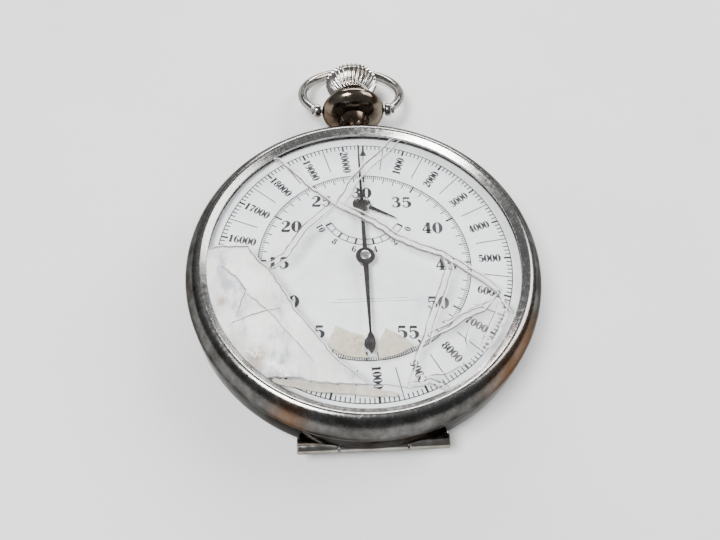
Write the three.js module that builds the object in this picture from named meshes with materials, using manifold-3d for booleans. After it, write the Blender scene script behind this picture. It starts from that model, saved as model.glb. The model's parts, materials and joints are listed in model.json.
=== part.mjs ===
// Hand-wound stopwatch in a pocket-watch case, with a telemeter dial and a ten-minute register.
// Millimetres, +Z up. The watch lies on its back: z = 0 is the flat of the back cover, the sweep
// arbor is the Z axis, and the crown and pendant point along +Y.
import * as THREE from 'three';
import { mergeVertices } from 'three/addons/utils/BufferGeometryUtils.js';
import Module from 'manifold-3d';

const wasm = await Module();
wasm.setup();

// ---- Driving dimensions -------------------------------------------------------------------
const CASE_RADIUS = 28;
const CASE_BORE = 25;
const BEZEL_TOP_RADIUS = 25.6;
const BEZEL_OPENING = 24.36;
const AROUND_CASE = 44;
const DIAL_RADIUS = 24.9;

const BACK_RIM_Z = 4.0;
const CASE_TOP_Z = 9.2;
const PLATE_Z = [8.9, 10.6];
const DIAL_Z = [10.6, 11.0];
const BRIDGE_Z = [3.7, 4.9];
const BEZEL_TOP_Z = 13.2;
const CRYSTAL_TOP_Z = 14.7;

const STEM_Z = 6.4;
const STEM_RADIUS = 1.2;
const PENDANT_Y = 35.2;
const PENDANT_RADIUS = 5.8;
const CROWN_RADIUS = 4.9;
const CROWN_Y = [39.2, 44.1];
const CROWN_WIDEST_Y = 41.8;
const BOW_PIVOT = { x: 6.6, y: 35.6 };
const BOW_RADIUS = 9.45;
const BOW_WIRE = 0.85;
const BOW_DROOP = THREE.MathUtils.degToRad(20);
const BOW_EYE = { radius: 1.2, inner: 6.0, outer: 7.2 };
const BOW_SCREW = { shank: 0.5, head: 0.8, headX: [7.35, 7.75] };

const HINGE = { y: -27.0, z: 4.3, halfLength: 11.2, middle: 5.0, knuckle: 1.1, pin: 0.5 };
const HINGE_RECESS = HINGE.knuckle + 0.25;

// Arbor centres of the movement, seen from the dial side.
const SWEEP = [0, 0];
const MINUTE = [0, 10.2];
const TRANSFER = [-2.6, 4.79];
const BARREL = [10.8, 9.6];
const SECOND = [9.0, -0.03];
const THIRD = [4.31, -4.0];
const ESCAPE = [-4.33, -3.03];
const PALLET = [-6.7, -6.5];
const BALANCE = [-9.4, -10.2];
const CROWN_WHEEL = [0, 12.163];
const CLICK = [17.2, 4.5];
const LEVER = [-11.5, 13.5];
const COLUMN = [-14.2, 4.4];
const HAMMER = [-7.4, 7.9];
const BRAKE = [-19.2, 0.2];

const PILLARS = [[17.0, -4.0], [2.5, -12.5], [-9.2, 3.0], [20.6, 4.6], [4.9, 20.8]];
const PILLAR_RADIUS = 1.3;
const ARBOR_RADIUS = 0.3;
const FITTING = 0.45;

// ---- Materials ----------------------------------------------------------------------------
const finish = (color, roughness, metalness) => () =>
  new THREE.MeshStandardMaterial({ color, roughness, metalness });
const nickel = finish(0xb9b4a8, 0.16, 1.0);
const gilt = finish(0xc9a35a, 0.35, 1.0);
const steel = finish(0xa7a9ac, 0.28, 1.0);
const blued = finish(0x1d2a4d, 0.3, 0.9);
const enamel = finish(0xe6e8ea, 0.35, 0.0);
const lacquer = finish(0x0b0b0c, 0.25, 0.0);
const celluloid = () => new THREE.MeshStandardMaterial({
  color: 0xd9d2bd, roughness: 0.3, metalness: 0, transparent: true, opacity: 0.35,
});

// ---- Solid helpers ------------------------------------------------------------------------
function toSolid(geometry) {
  const bare = geometry.clone();
  bare.deleteAttribute('normal');
  bare.deleteAttribute('uv');
  const merged = mergeVertices(bare, 1e-4);
  return new wasm.Manifold(new wasm.Mesh({
    numProp: 3,
    vertProperties: new Float32Array(merged.attributes.position.array),
    triVerts: new Uint32Array(merged.index.array),
  }));
}

function toGeometry(solid) {
  const mesh = solid.getMesh();
  const geometry = new THREE.BufferGeometry();
  geometry.setAttribute('position', new THREE.BufferAttribute(new Float32Array(mesh.vertProperties), 3));
  geometry.setIndex(new THREE.BufferAttribute(new Uint32Array(mesh.triVerts), 1));
  geometry.computeVertexNormals();
  return geometry;
}

const join = (...solids) => solids.reduce((whole, piece) => whole.add(piece));
const cut = (solid, ...tools) => tools.reduce((rest, tool) => rest.subtract(tool), solid);

// Round bar along Z from low to high.
function disc(radius, low, high, [x, y] = [0, 0], segments = 10) {
  const geometry = new THREE.CylinderGeometry(radius, radius, high - low, segments);
  geometry.rotateX(Math.PI / 2);
  geometry.translate(x, y, (low + high) / 2);
  return toSolid(geometry);
}

// Round bar along Y at the stem's height.
function stemBar(radius, low, high, segments = 12) {
  const geometry = new THREE.CylinderGeometry(radius, radius, high - low, segments);
  geometry.translate(0, (low + high) / 2, STEM_Z);
  return toSolid(geometry);
}

// Round bar along X.
function crossBar(radius, low, high, y, z, segments = 12) {
  const geometry = new THREE.CylinderGeometry(radius, radius, high - low, segments);
  geometry.rotateZ(Math.PI / 2);
  geometry.translate((low + high) / 2, y, z);
  return toSolid(geometry);
}

function block(x, y, z) {
  const geometry = new THREE.BoxGeometry(x[1] - x[0], y[1] - y[0], z[1] - z[0]);
  geometry.translate((x[0] + x[1]) / 2, (y[0] + y[1]) / 2, (z[0] + z[1]) / 2);
  return toSolid(geometry);
}

// Solid of revolution. The profile lists [radius, height] and runs anticlockwise, so that the
// faces point out; turned about Z, or about the stem axis where alongY is set.
function turned(profile, segments = 72, alongY = false) {
  const points = profile.map(([r, h]) => new THREE.Vector2(r, h));
  const first = points[0];
  const last = points[points.length - 1];
  const touchesAxis = first.x === 0 && last.x === 0;
  if (!touchesAxis) points.push(first.clone());
  const geometry = new THREE.LatheGeometry(points, segments);
  if (alongY) geometry.translate(0, 0, STEM_Z);
  else geometry.rotateX(Math.PI / 2);
  return toSolid(geometry);
}

function outline(points) {
  return new THREE.Shape(points.map(([x, y]) => new THREE.Vector2(x, y)));
}

function plate(shape, low, high, curveSegments = 8) {
  const geometry = new THREE.ExtrudeGeometry(shape, {
    depth: high - low, bevelEnabled: false, curveSegments,
  });
  geometry.translate(0, 0, low);
  return toSolid(geometry);
}

// Flat arm of the given width through a list of points, with a round end at each.
function arm(points, width, low, high) {
  const discs = points.map((point) => disc(width / 2, low, high, point, 8));
  const bars = points.slice(1).map(([x1, y1], i) => {
    const [x0, y0] = points[i];
    const length = Math.hypot(x1 - x0, y1 - y0);
    const geometry = new THREE.BoxGeometry(length, width, high - low);
    geometry.rotateZ(Math.atan2(y1 - y0, x1 - x0));
    geometry.translate((x0 + x1) / 2, (y0 + y1) / 2, (low + high) / 2);
    return toSolid(geometry);
  });
  return join(...discs, ...bars);
}

// ---- Gears --------------------------------------------------------------------------------
// Wheels have pointed teeth and pinions have narrow leaves, which leaves backlash where they mesh.
function gearShape(teeth, module, phase = 0) {
  const pitchAngle = (2 * Math.PI) / teeth;
  const rootRadius = (module * teeth) / 2 - 1.1 * module;
  const tipRadius = (module * teeth) / 2 + 0.75 * module;
  const leaf = [[rootRadius, -0.27], [tipRadius, -0.09], [tipRadius, 0.09], [rootRadius, 0.27]];
  const tooth = [[tipRadius, 0], [rootRadius, 0.5]];
  const points = [];
  for (let i = 0; i < teeth; i += 1) {
    const middle = phase + i * pitchAngle;
    for (const [radius, offset] of teeth > 12 ? tooth : leaf) {
      const angle = middle + offset * pitchAngle;
      points.push([radius * Math.cos(angle), radius * Math.sin(angle)]);
    }
  }
  return outline(points);
}

// Phase of the driven wheel that puts its gap on the driver's tooth along the line of centres.
function meshPhase(driver, driverTeeth, driverPhase, driven, drivenTeeth) {
  const bearing = Math.atan2(driven[1] - driver[1], driven[0] - driver[0]);
  const toothOffset = ((driverPhase - bearing) * driverTeeth) / (2 * Math.PI);
  return bearing + Math.PI + ((0.5 - toothOffset) * 2 * Math.PI) / drivenTeeth;
}

// Four windows between a wheel's hub and its rim.
function cutCrossings(solid, hubRadius, rimRadius, low, high) {
  let rest = solid;
  for (let i = 0; i < 4; i += 1) {
    const start = (i * Math.PI) / 2 + 0.28;
    const end = ((i + 1) * Math.PI) / 2 - 0.28;
    const window = new THREE.Shape();
    window.absarc(0, 0, rimRadius, start, end, false);
    window.absarc(0, 0, hubRadius, end, start, true);
    rest = rest.subtract(plate(window, low - 0.1, high + 0.1, 3));
  }
  return rest;
}

// ---- Scene graph --------------------------------------------------------------------------
const watch = new THREE.Group();
const caseGroup = new THREE.Group();
const movementGroup = new THREE.Group();
watch.add(caseGroup, movementGroup);

function addPiece(group, name, solid, material, [x, y] = [0, 0]) {
  const mesh = new THREE.Mesh(toGeometry(solid), material());
  mesh.name = name;
  mesh.position.set(x, y, 0);
  group.add(mesh);
  return mesh;
}

// ---- Case ---------------------------------------------------------------------------------
// The pendant is a short neck and a flattened ball, bored through for the stem.
function makePendant() {
  const steps = 5;
  const ball = [];
  for (let i = 0; i <= steps; i += 1) {
    const angle = THREE.MathUtils.lerp(-0.34 * Math.PI, 0.42 * Math.PI, i / steps);
    ball.push([PENDANT_RADIUS * Math.cos(angle), PENDANT_Y + 2.7 * Math.sin(angle)]);
  }
  const profile = [[0, 26.5], [2.3, 26.5], [2.3, 28.1], [2.9, 28.5], [2.9, ball[0][1] - 0.4],
    ...ball, [0, ball[steps][1]]];
  return turned(profile, 20, true);
}

function makeCaseMiddle() {
  const ring = turned([
    [CASE_BORE, 3.3], [26.3, 3.3], [26.3, BACK_RIM_Z], [27.5, BACK_RIM_Z], [CASE_RADIUS, 4.6],
    [CASE_RADIUS, CASE_TOP_Z], [26.6, CASE_TOP_Z], [26.6, 9.9], [CASE_BORE, 9.9],
    [CASE_BORE, PLATE_Z[0]], [23.6, PLATE_Z[0]], [23.6, 8.3], [CASE_BORE, 8.3],
  ], AROUND_CASE);
  const half = HINGE.middle;
  const knuckle = crossBar(HINGE.knuckle, -half, half, HINGE.y, HINGE.z);
  const recess = crossBar(HINGE_RECESS, -HINGE.halfLength - 0.3, HINGE.halfLength + 0.3,
    HINGE.y, HINGE.z);
  const pinHole = crossBar(HINGE.pin + 0.05, -half - 1, half + 1, HINGE.y, HINGE.z);
  const boltHoles = crossBar(BOW_SCREW.shank + 0.05, -8, 8, BOW_PIVOT.y, STEM_Z);
  const outer = join(ring, makePendant());
  const recessed = cut(outer, recess);
  const web = block([-half, half], [HINGE.y, -25.1], [4.0, 5.3]);
  return cut(join(recessed, knuckle, web), pinHole, boltHoles, stemBar(1.5, 20, 40),
    disc(CASE_BORE, 4, 8.2, [0, 0], AROUND_CASE));
}

function makeBezel() {
  return turned([
    [26.8, CASE_TOP_Z], [CASE_RADIUS, CASE_TOP_Z], [27.5, 11.2], [26.5, 12.6],
    [BEZEL_TOP_RADIUS, BEZEL_TOP_Z], [BEZEL_OPENING, 12.55], [BEZEL_OPENING, 12.35],
    [25.2, 12.35], [25.2, 11.65], [24.5, 11.5], [25.2, 11.2], [25.2, 10.2], [26.8, 10.2],
  ], AROUND_CASE);
}

function makeBackCover() {
  const dish = turned([
    [0, 0], [20.5, 0], [24.4, 0.7], [26.8, 2.1], [27.8, 3.9], [26.5, 3.9], [26.5, 3.1],
    [23.9, 1.35], [20.3, 0.7], [0, 0.7],
  ], AROUND_CASE);
  const gap = 0.2;
  const inner = HINGE.middle + gap;
  const clearance = crossBar(HINGE_RECESS, -inner, inner, HINGE.y, HINGE.z);
  const lipRoom = disc(26.5, 3, 4.2, [0, 0], AROUND_CASE);
  const arms = [-1, 1].map((side) => {
    const ends = [side * inner, side * HINGE.halfLength].sort((a, b) => a - b);
    const knuckle = crossBar(HINGE.knuckle, ends[0], ends[1], HINGE.y, HINGE.z);
    const web = block(ends, [HINGE.y - 0.6, -23.6], [3.1, 3.9]);
    return join(knuckle, cut(web, lipRoom));
  });
  const pinHole = crossBar(HINGE.pin + 0.05, -13, 13, HINGE.y, HINGE.z);
  return cut(join(cut(dish, clearance), ...arms), pinHole);
}

// The crystal is a shallow dome, broken along its cracks, with a bite missing near six o'clock.
// Each point is a clock place: degrees clockwise from the crown, then millimetres from the centre.
// The last two cracks stop short of their neighbours, so the pieces between them hold together.
const JUNCTION = [333, 9.5];
const BEYOND_RIM = 27;
const CRACKS = [
  [[324, BEYOND_RIM], [325, 19.5], [326, 15], JUNCTION],
  [JUNCTION, [15, 5], [72, 5.2], [90, 8], [96, 11.5], [102, 14], [108, 18], [117, BEYOND_RIM]],
  [JUNCTION, [352, 13.5], [3, 17], [10, 20], [16, BEYOND_RIM]],
  [JUNCTION, [308, 9], [290, 9.8], [265, 12], [260, 15], [267, 16.5], [275, 18], [275, BEYOND_RIM]],
  [[260, 15], [240, 14], [230, 14.5], [212, 15.5], [197, 18], [182, 21.3], [180, 23.5]],
  [[100, 12.2], [106, 12.6], [127, 12.9], [145, 14.8], [155, 17], [160, 18.3], [168, 24]],
  [[153, 17], [142, 17.5], [130, 18.3], [122, 20], [111, 23]],
];
const CRACK_WIDTH = 0.16;
const MISSING = [[200, 28], [201, 23.5], [195, 21.5], [182, 21.3], [172, 21.3], [160, 23], [159, 28]];

function clockPoint([degrees, radius]) {
  const angle = (degrees * Math.PI) / 180;
  return [radius * Math.sin(angle), radius * Math.cos(angle)];
}

// Zigzag blade that saws through the crystal along one crack.
function crackTool(line) {
  const half = CRACK_WIDTH / 2;
  const side = (sign) => line.map(([x, y], i) => {
    const [ax, ay] = line[Math.max(i - 1, 0)];
    const [bx, by] = line[Math.min(i + 1, line.length - 1)];
    const length = Math.hypot(bx - ax, by - ay);
    return [x - (sign * half * (by - ay)) / length, y + (sign * half * (bx - ax)) / length];
  });
  return plate(outline([...side(-1), ...side(1).reverse()]), 11, 15);
}

function makeCrystalShards() {
  const topSteps = 3;
  const sag = 1.1;
  const dome = [];
  for (let i = 0; i <= topSteps; i += 1) {
    const r = (22.8 * i) / topSteps;
    dome.push([r, CRYSTAL_TOP_Z - sag * (r / 22.8) ** 2]);
  }
  const underside = dome.map(([r, z]) => [r, z - 0.6]).reverse();
  const whole = turned([
    ...underside.reverse(), [23.6, 11.7], [24.9, 11.7], [24.9, 12.3], [24.2, 12.3],
    ...dome.reverse(),
  ], 40);
  const kerfs = CRACKS.map((line) => crackTool(line.map(clockPoint)));
  return cut(whole, ...kerfs, plate(outline(MISSING.map(clockPoint)), 11, 15))
    .decompose()
    .filter((shard) => shard.volume() > 2)
    .sort((a, b) => b.volume() - a.volume());
}

// ---- Dial and hands -----------------------------------------------------------------------
function makeDial() {
  const holes = [disc(0.9, 10, 12, SWEEP, 8), disc(0.8, 10, 12, MINUTE, 12)];
  return cut(disc(DIAL_RADIUS, ...DIAL_Z, SWEEP, AROUND_CASE), ...holes);
}

function makeSweepHand() {
  const blade = plate(outline([
    [-0.16, 22.0], [-0.45, 1.4], [-0.35, -12.9], [-0.72, -14.6], [0, -16.5], [0.72, -14.6],
    [0.35, -12.9], [0.45, 1.4], [0.16, 22.0],
  ]), 12.6, 12.8);
  return cut(join(blade, disc(1.5, 12.55, 12.9, SWEEP, 16), disc(0.85, 12.8, 13.2)),
    disc(ARBOR_RADIUS, 12, 13.0, SWEEP, 8));
}

function makeMinuteHand() {
  const blade = plate(outline([[-0.4, 0], [-0.1, 6.4], [0.1, 6.4], [0.4, 0]]), 12.0, 12.2);
  return cut(join(blade.rotate([0, 0, -118]), disc(1.45, 11.9, 12.25, SWEEP, 10)),
    disc(ARBOR_RADIUS, 11, 12.15, SWEEP, 8));
}

// ---- Crown, stem and bow ------------------------------------------------------------------
// The fluted knob flares outward from the pendant and ends in a low dome.
function makeCrown() {
  const flutes = 34;
  const points = [];
  for (let i = 0; i < flutes * 2; i += 1) {
    const angle = (i * Math.PI) / flutes;
    const radius = i % 2 ? CROWN_RADIUS - 0.35 : CROWN_RADIUS;
    points.push([radius * Math.cos(angle), radius * Math.sin(angle)]);
  }
  const [low, high] = CROWN_Y;
  const section = new wasm.CrossSection([points]);
  const flare = section.extrude(CROWN_WIDEST_Y - low, 1, 0, [0.62, 0.62])
    .rotate([90, 0, 0])
    .translate([0, CROWN_WIDEST_Y, STEM_Z]);
  const band = section.extrude(1.31)
    .rotate([90, 0, 0])
    .translate([0, CROWN_WIDEST_Y + 1.3, STEM_Z]);
  const dome = turned([[0, 43.0], [4.4, 43.0], [3.4, 43.8], [1.8, high], [0, high]], 20, true);
  return cut(join(flare, band, dome), stemBar(STEM_RADIUS, low - 1, 41.5));
}

function makeStem() {
  return join(stemBar(STEM_RADIUS, 19.6, 41.5),
    block([-0.75, 0.75], [14.2, 19.7], [STEM_Z - 0.75, STEM_Z + 0.75]));
}

function makeWindingPinion() {
  const teeth = plate(gearShape(12, 0.36), 16.3, 18.1);
  return cut(teeth.rotate([-90, 0, 0]).translate([0, 0, STEM_Z]),
    block([-0.85, 0.85], [10, 20], [STEM_Z - 0.85, STEM_Z + 0.85]));
}

// The bow is built upright in its own plane, then laid back by its droop about the pivots.
function makeBow() {
  const rise = Math.sqrt(BOW_RADIUS ** 2 - BOW_PIVOT.x ** 2);
  const endAngle = Math.atan2(-rise, BOW_PIVOT.x);
  const centre = new THREE.Vector2(0, rise);
  class BowCurve extends THREE.Curve {
    getPoint(t) {
      const angle = THREE.MathUtils.lerp(endAngle, Math.PI - endAngle, t);
      return new THREE.Vector3(centre.x + BOW_RADIUS * Math.cos(angle),
        centre.y + BOW_RADIUS * Math.sin(angle), 0);
    }
  }
  const section = new THREE.Shape();
  section.absarc(0, 0, BOW_WIRE, 0, 2 * Math.PI, false);
  const wire = toSolid(new THREE.ExtrudeGeometry(section, {
    extrudePath: new BowCurve(), steps: 22, curveSegments: 8, bevelEnabled: false,
  }));
  const { radius, inner, outer } = BOW_EYE;
  const eyes = [crossBar(radius, inner, outer, 0, 0), crossBar(radius, -outer, -inner, 0, 0)];
  const headRoom = BOW_SCREW.head + 0.15;
  const screwRoom = [crossBar(BOW_SCREW.shank + 0.1, -9, 9, 0, 0),
    crossBar(headRoom, outer + 0.05, 11, 0, 0), crossBar(headRoom, -11, -outer - 0.05, 0, 0)];
  return cut(join(wire, ...eyes), ...screwRoom)
    .rotate([-THREE.MathUtils.radToDeg(BOW_DROOP), 0, 0])
    .translate([0, BOW_PIVOT.y, STEM_Z]);
}

function makeBowScrew(side) {
  const span = (a, b) => [Math.min(side * a, side * b), Math.max(side * a, side * b)];
  const [headInner, headOuter] = BOW_SCREW.headX;
  const shank = crossBar(BOW_SCREW.shank, ...span(3.2, headInner + 0.05), BOW_PIVOT.y, STEM_Z);
  const head = crossBar(BOW_SCREW.head, ...span(headInner, headOuter), BOW_PIVOT.y, STEM_Z);
  const slot = block(span(headOuter - 0.2, 8.2), [BOW_PIVOT.y - 0.12, BOW_PIVOT.y + 0.12],
    [STEM_Z - 2, STEM_Z + 2]);
  return cut(join(shank, head), slot);
}

addPiece(caseGroup, 'case_middle', makeCaseMiddle(), nickel);
addPiece(caseGroup, 'bezel', makeBezel(), nickel);
addPiece(caseGroup, 'back_cover', makeBackCover(), nickel);
addPiece(caseGroup, 'hinge_pin',
  crossBar(HINGE.pin, -HINGE.halfLength, HINGE.halfLength, HINGE.y, HINGE.z), steel);
makeCrystalShards().forEach((shard, i) =>
  addPiece(caseGroup, `crystal_shard_${i + 1}`, shard, celluloid));
addPiece(caseGroup, 'dial', makeDial(), enamel);
addPiece(caseGroup, 'sweep_hand', makeSweepHand(), lacquer, SWEEP);
addPiece(caseGroup, 'minute_hand', makeMinuteHand(), lacquer, MINUTE);
addPiece(caseGroup, 'crown', makeCrown(), nickel);
addPiece(caseGroup, 'stem', makeStem(), steel);
addPiece(caseGroup, 'winding_pinion', makeWindingPinion(), steel);
addPiece(caseGroup, 'bow', makeBow(), nickel);
addPiece(caseGroup, 'bow_screw_left', makeBowScrew(-1), steel);
addPiece(caseGroup, 'bow_screw_right', makeBowScrew(1), steel);

// ---- Movement frame -----------------------------------------------------------------------
// Every arbor runs in a hole in the main plate and in a bridge.
const PIVOT_HOLE = 0.36;
const TRAIN_ARBORS = [SWEEP, MINUTE, TRANSFER, SECOND, THIRD, ESCAPE];

function makeMainPlate() {
  const holes = [...TRAIN_ARBORS, PALLET, BARREL].map((at) =>
    disc(PIVOT_HOLE, 8, 11, at, 8));
  return cut(disc(24.6, ...PLATE_Z, SWEEP, AROUND_CASE), ...holes, disc(PIVOT_HOLE, 8, 10, BALANCE, 8));
}

function makeTrainBridge() {
  const shape = outline([
    [19.0, -3.2], [18.6, -5.6], [4.4, -14.2], [0.8, -14.0], [-1.6, -9.5], [-2.4, -5.6],
    [-5.6, -2.0], [-10.8, 1.6], [-10.8, 4.4], [-4.6, 6.6], [-1.4, 11.1], [1.4, 11.1], [3.2, 2.6],
    [10.2, 1.9],
  ]);
  const holes = TRAIN_ARBORS.map((at) => disc(PIVOT_HOLE, 3, 6, at, 8));
  const screws = PILLARS.slice(0, 3).map((at) => disc(0.65, 3, 6, at, 8));
  return cut(plate(shape, ...BRIDGE_Z), ...holes, ...screws);
}

function makeBarrelBridge() {
  const shape = outline([
    [22.0, 5.6], [21.6, 3.0], [15.8, 3.1], [8.4, 6.6], [4.0, 11.3], [-1.2, 11.3], [-1.2, 13.4],
    [3.4, 14.4], [3.4, 22.2], [5.4, 22.2], [13.2, 17.8], [20.2, 10.8],
  ]);
  const holes = [disc(0.95, 3, 6, BARREL), disc(0.45, 3, 6, CROWN_WHEEL, 8),
    disc(0.45, 3, 6, CLICK, 8)];
  const screws = PILLARS.slice(3).map((at) => disc(0.65, 3, 6, at, 8));
  return cut(plate(shape, ...BRIDGE_Z), ...holes, ...screws);
}

addPiece(movementGroup, 'main_plate', makeMainPlate(), gilt);
addPiece(movementGroup, 'train_bridge', makeTrainBridge(), gilt);
addPiece(movementGroup, 'barrel_bridge', makeBarrelBridge(), gilt);
PILLARS.forEach((at, i) => {
  const pillar = cut(disc(PILLAR_RADIUS, BRIDGE_Z[1], PLATE_Z[0]),
    disc(0.65, 4, 6.5, SWEEP, 8));
  addPiece(movementGroup, `pillar_${i + 1}`, pillar, gilt, at);
  const screw = cut(join(disc(0.6, 3.5, 6.3, SWEEP, 8), disc(1.1, 3.2, 3.7)),
    block([-2, 2], [-0.12, 0.12], [3, 3.4]));
  addPiece(movementGroup, `bridge_screw_${i + 1}`, screw, blued, at);
});

// ---- Going train --------------------------------------------------------------------------
const TRAIN = {
  barrel: { teeth: 60, module: 0.28, z: [8.0, 8.6] },
  secondPinion: { teeth: 10, module: 0.28, z: [7.9, 8.7] },
  secondWheel: { teeth: 48, module: 0.22, z: [5.1, 5.6] },
  thirdPinion: { teeth: 8, module: 0.22, z: [5.0, 5.8] },
  thirdWheel: { teeth: 48, module: 0.21, z: [6.4, 6.9] },
  sweepPinion: { teeth: 8, module: 0.21, z: [6.3, 7.0] },
  sweepWheel: { teeth: 60, module: 0.16, z: [7.6, 8.1] },
  escapePinion: { teeth: 6, module: 0.16, z: [7.5, 8.2] },
};

// Pinion cut on its arbor, with a seat for its wheel.
function makePinion({ teeth, module, z }, phase, low, high, seats = []) {
  const leaves = plate(gearShape(teeth, module, phase), z[0], z[1]);
  const collars = seats.map(([bottom, top]) => disc(FITTING, bottom, top, SWEEP, 8));
  return join(leaves, disc(ARBOR_RADIUS, low, high, SWEEP, 8), ...collars);
}

function makeWheel({ teeth, module, z }, phase) {
  const rimInside = (teeth * module) / 2 - 3.2 * module;
  const blank = plate(gearShape(teeth, module, phase), ...z);
  const wheel = rimInside > 3 ? cutCrossings(blank, 1.3, rimInside, ...z) : blank;
  return cut(wheel, disc(FITTING, z[0] - 0.1, z[1] + 0.1, SWEEP, 8));
}

const sweepPhase = 0;
const escapePhase = meshPhase(SWEEP, 60, sweepPhase, ESCAPE, 6);
const thirdPhase = meshPhase(SWEEP, 8, sweepPhase, THIRD, 48);
const secondPhase = meshPhase(THIRD, 8, thirdPhase, SECOND, 48);
const barrelPhase = meshPhase(SECOND, 10, secondPhase, BARREL, 60);

function makeBarrel() {
  const { z } = TRAIN.barrel;
  const drum = cut(disc(7.5, 5.9, 8.6, SWEEP, 28), disc(6.9, 6.4, 9, SWEEP, 28));
  const rim = cut(plate(gearShape(60, 0.28, barrelPhase), ...z), disc(6.9, 7.9, 8.7, SWEEP, 28));
  return cut(join(drum, rim), disc(1.1, 5, 9, SWEEP, 10));
}

// Flat strip wound in a spiral round the Z axis.
function spiral(inner, outer, turns, width, low, high, stepsPerTurn = 10) {
  const steps = Math.round(turns * stepsPerTurn);
  const side = (offset) => Array.from({ length: steps + 1 }, (_, i) => {
    const angle = (2 * Math.PI * turns * i) / steps;
    const radius = THREE.MathUtils.lerp(inner, outer, i / steps) + offset;
    return [radius * Math.cos(angle), radius * Math.sin(angle)];
  });
  return plate(outline([...side(width / 2), ...side(-width / 2).reverse()]), low, high);
}

addPiece(movementGroup, 'barrel', makeBarrel(), gilt, BARREL);
addPiece(movementGroup, 'mainspring', spiral(1.6, 6.5, 4, 0.28, 6.5, 8.4), blued, BARREL);
addPiece(movementGroup, 'second_pinion',
  makePinion(TRAIN.secondPinion, secondPhase, 3.8, 10.3, [[5.1, 5.6]]), steel, SECOND);
addPiece(movementGroup, 'second_wheel', makeWheel(TRAIN.secondWheel, secondPhase), gilt, SECOND);
addPiece(movementGroup, 'third_pinion',
  makePinion(TRAIN.thirdPinion, thirdPhase, 3.8, 10.3, [[6.4, 6.9]]), steel, THIRD);
addPiece(movementGroup, 'third_wheel', makeWheel(TRAIN.thirdWheel, thirdPhase), gilt, THIRD);

// Heart cam: its radius grows from the notch to the point on each side.
function heartShape(low, high) {
  const steps = 16;
  const points = [];
  for (let i = 0; i < steps; i += 1) {
    const angle = (2 * Math.PI * i) / steps;
    const away = Math.min(angle, 2 * Math.PI - angle) / Math.PI;
    points.push([(low + (high - low) * away) * Math.cos(angle),
      (low + (high - low) * away) * Math.sin(angle)]);
  }
  return outline(points);
}

// The sweep arbor carries its pinion, the finger that steps the minute work, and the hand.
function makeSweepArbor() {
  const finger = arm([[0, 0], [0, -2.0]], 0.4, 5.1, 5.5);
  return join(makePinion(TRAIN.sweepPinion, sweepPhase, 3.8, 13.0,
    [[5.6, 6.2], [7.6, 8.1]]), finger, disc(0.45, 5.0, 5.6, SWEEP, 8));
}

addPiece(movementGroup, 'sweep_arbor', makeSweepArbor(), steel, SWEEP);
addPiece(movementGroup, 'sweep_wheel', makeWheel(TRAIN.sweepWheel, sweepPhase), gilt, SWEEP);

function makeHeart(notchDeg) {
  const cam = plate(heartShape(0.7, 1.45), 5.65, 6.2).rotate([0, 0, notchDeg]);
  return cut(cam, disc(FITTING, 5, 7, SWEEP, 8));
}

// Each heart's notch faces the hammer when the hands stand at zero.
const SWEEP_NOTCH_DEG = 212;
const MINUTE_NOTCH_DEG = -90;
addPiece(movementGroup, 'sweep_heart', makeHeart(SWEEP_NOTCH_DEG), steel, SWEEP);
addPiece(movementGroup, 'minute_heart', makeHeart(MINUTE_NOTCH_DEG), steel, MINUTE);

// ---- Minute work --------------------------------------------------------------------------
const MINUTE_GEAR = { teeth: 30, module: 0.2, z: [5.1, 5.5] };
const transferPhase = 0;
const minutePhase = meshPhase(TRANSFER, 30, transferPhase, MINUTE, 30);

addPiece(movementGroup, 'minute_wheel', makeWheel(MINUTE_GEAR, minutePhase), gilt, MINUTE);
addPiece(movementGroup, 'minute_arbor', join(disc(ARBOR_RADIUS, 3.8, 12.15, SWEEP, 8),
  disc(FITTING, 5.1, 6.2, SWEEP, 8)), steel, MINUTE);
addPiece(movementGroup, 'transfer_wheel',
  join(plate(gearShape(30, 0.2, transferPhase), ...MINUTE_GEAR.z),
    disc(ARBOR_RADIUS, 3.8, 10.3, SWEEP, 8)), gilt, TRANSFER);

// ---- Escapement and balance ---------------------------------------------------------------
function makeEscapeWheel() {
  const points = [];
  for (let i = 0; i < 15; i += 1) {
    const angle = (i * 2 * Math.PI) / 15;
    for (const [radius, offset] of [[2.3, -0.1], [3.2, 0.02], [3.15, 0.07], [2.3, 0.1]]) {
      points.push([radius * Math.cos(angle + offset), radius * Math.sin(angle + offset)]);
    }
  }
  return cut(plate(outline(points), 6.5, 6.9), disc(FITTING, 6, 7.2, SWEEP, 8));
}

// Lever with two pallets that span the escape wheel and a fork towards the balance staff.
function makePalletLever() {
  const along = Math.atan2(ESCAPE[1] - PALLET[1], ESCAPE[0] - PALLET[0]);
  const spot = (angle, radius) => [radius * Math.cos(along + angle), radius * Math.sin(along + angle)];
  const reach = 3.1;
  const spread = 1.02;
  const body = arm([spot(spread, reach), spot(0.9, 1.2), [0, 0], spot(-0.9, 1.2),
    spot(-spread, reach)], 0.55, 6.5, 6.9);
  const tail = arm([[0, 0], spot(Math.PI, 3.2)], 0.5, 6.5, 6.9);
  return join(body, tail, disc(ARBOR_RADIUS, 4.95, 10.3, SWEEP, 8));
}

function makeBalanceWheel() {
  const rim = turned([[5.8, 4.0], [6.6, 4.0], [6.6, 4.8], [5.8, 4.8]], 28);
  const spokes = block([-6.0, 6.0], [-0.45, 0.45], [4.15, 4.65]);
  return cut(join(rim, spokes, disc(1.0, 4.15, 4.65, SWEEP, 10)), disc(0.5, 3, 6, SWEEP, 8));
}

function makeBalanceStaff() {
  return join(disc(0.5, 4.0, 4.8, SWEEP, 8), disc(0.3, 2.5, 9.6, SWEEP, 8),
    disc(0.9, 5.8, 6.2, SWEEP, 10));
}

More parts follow.
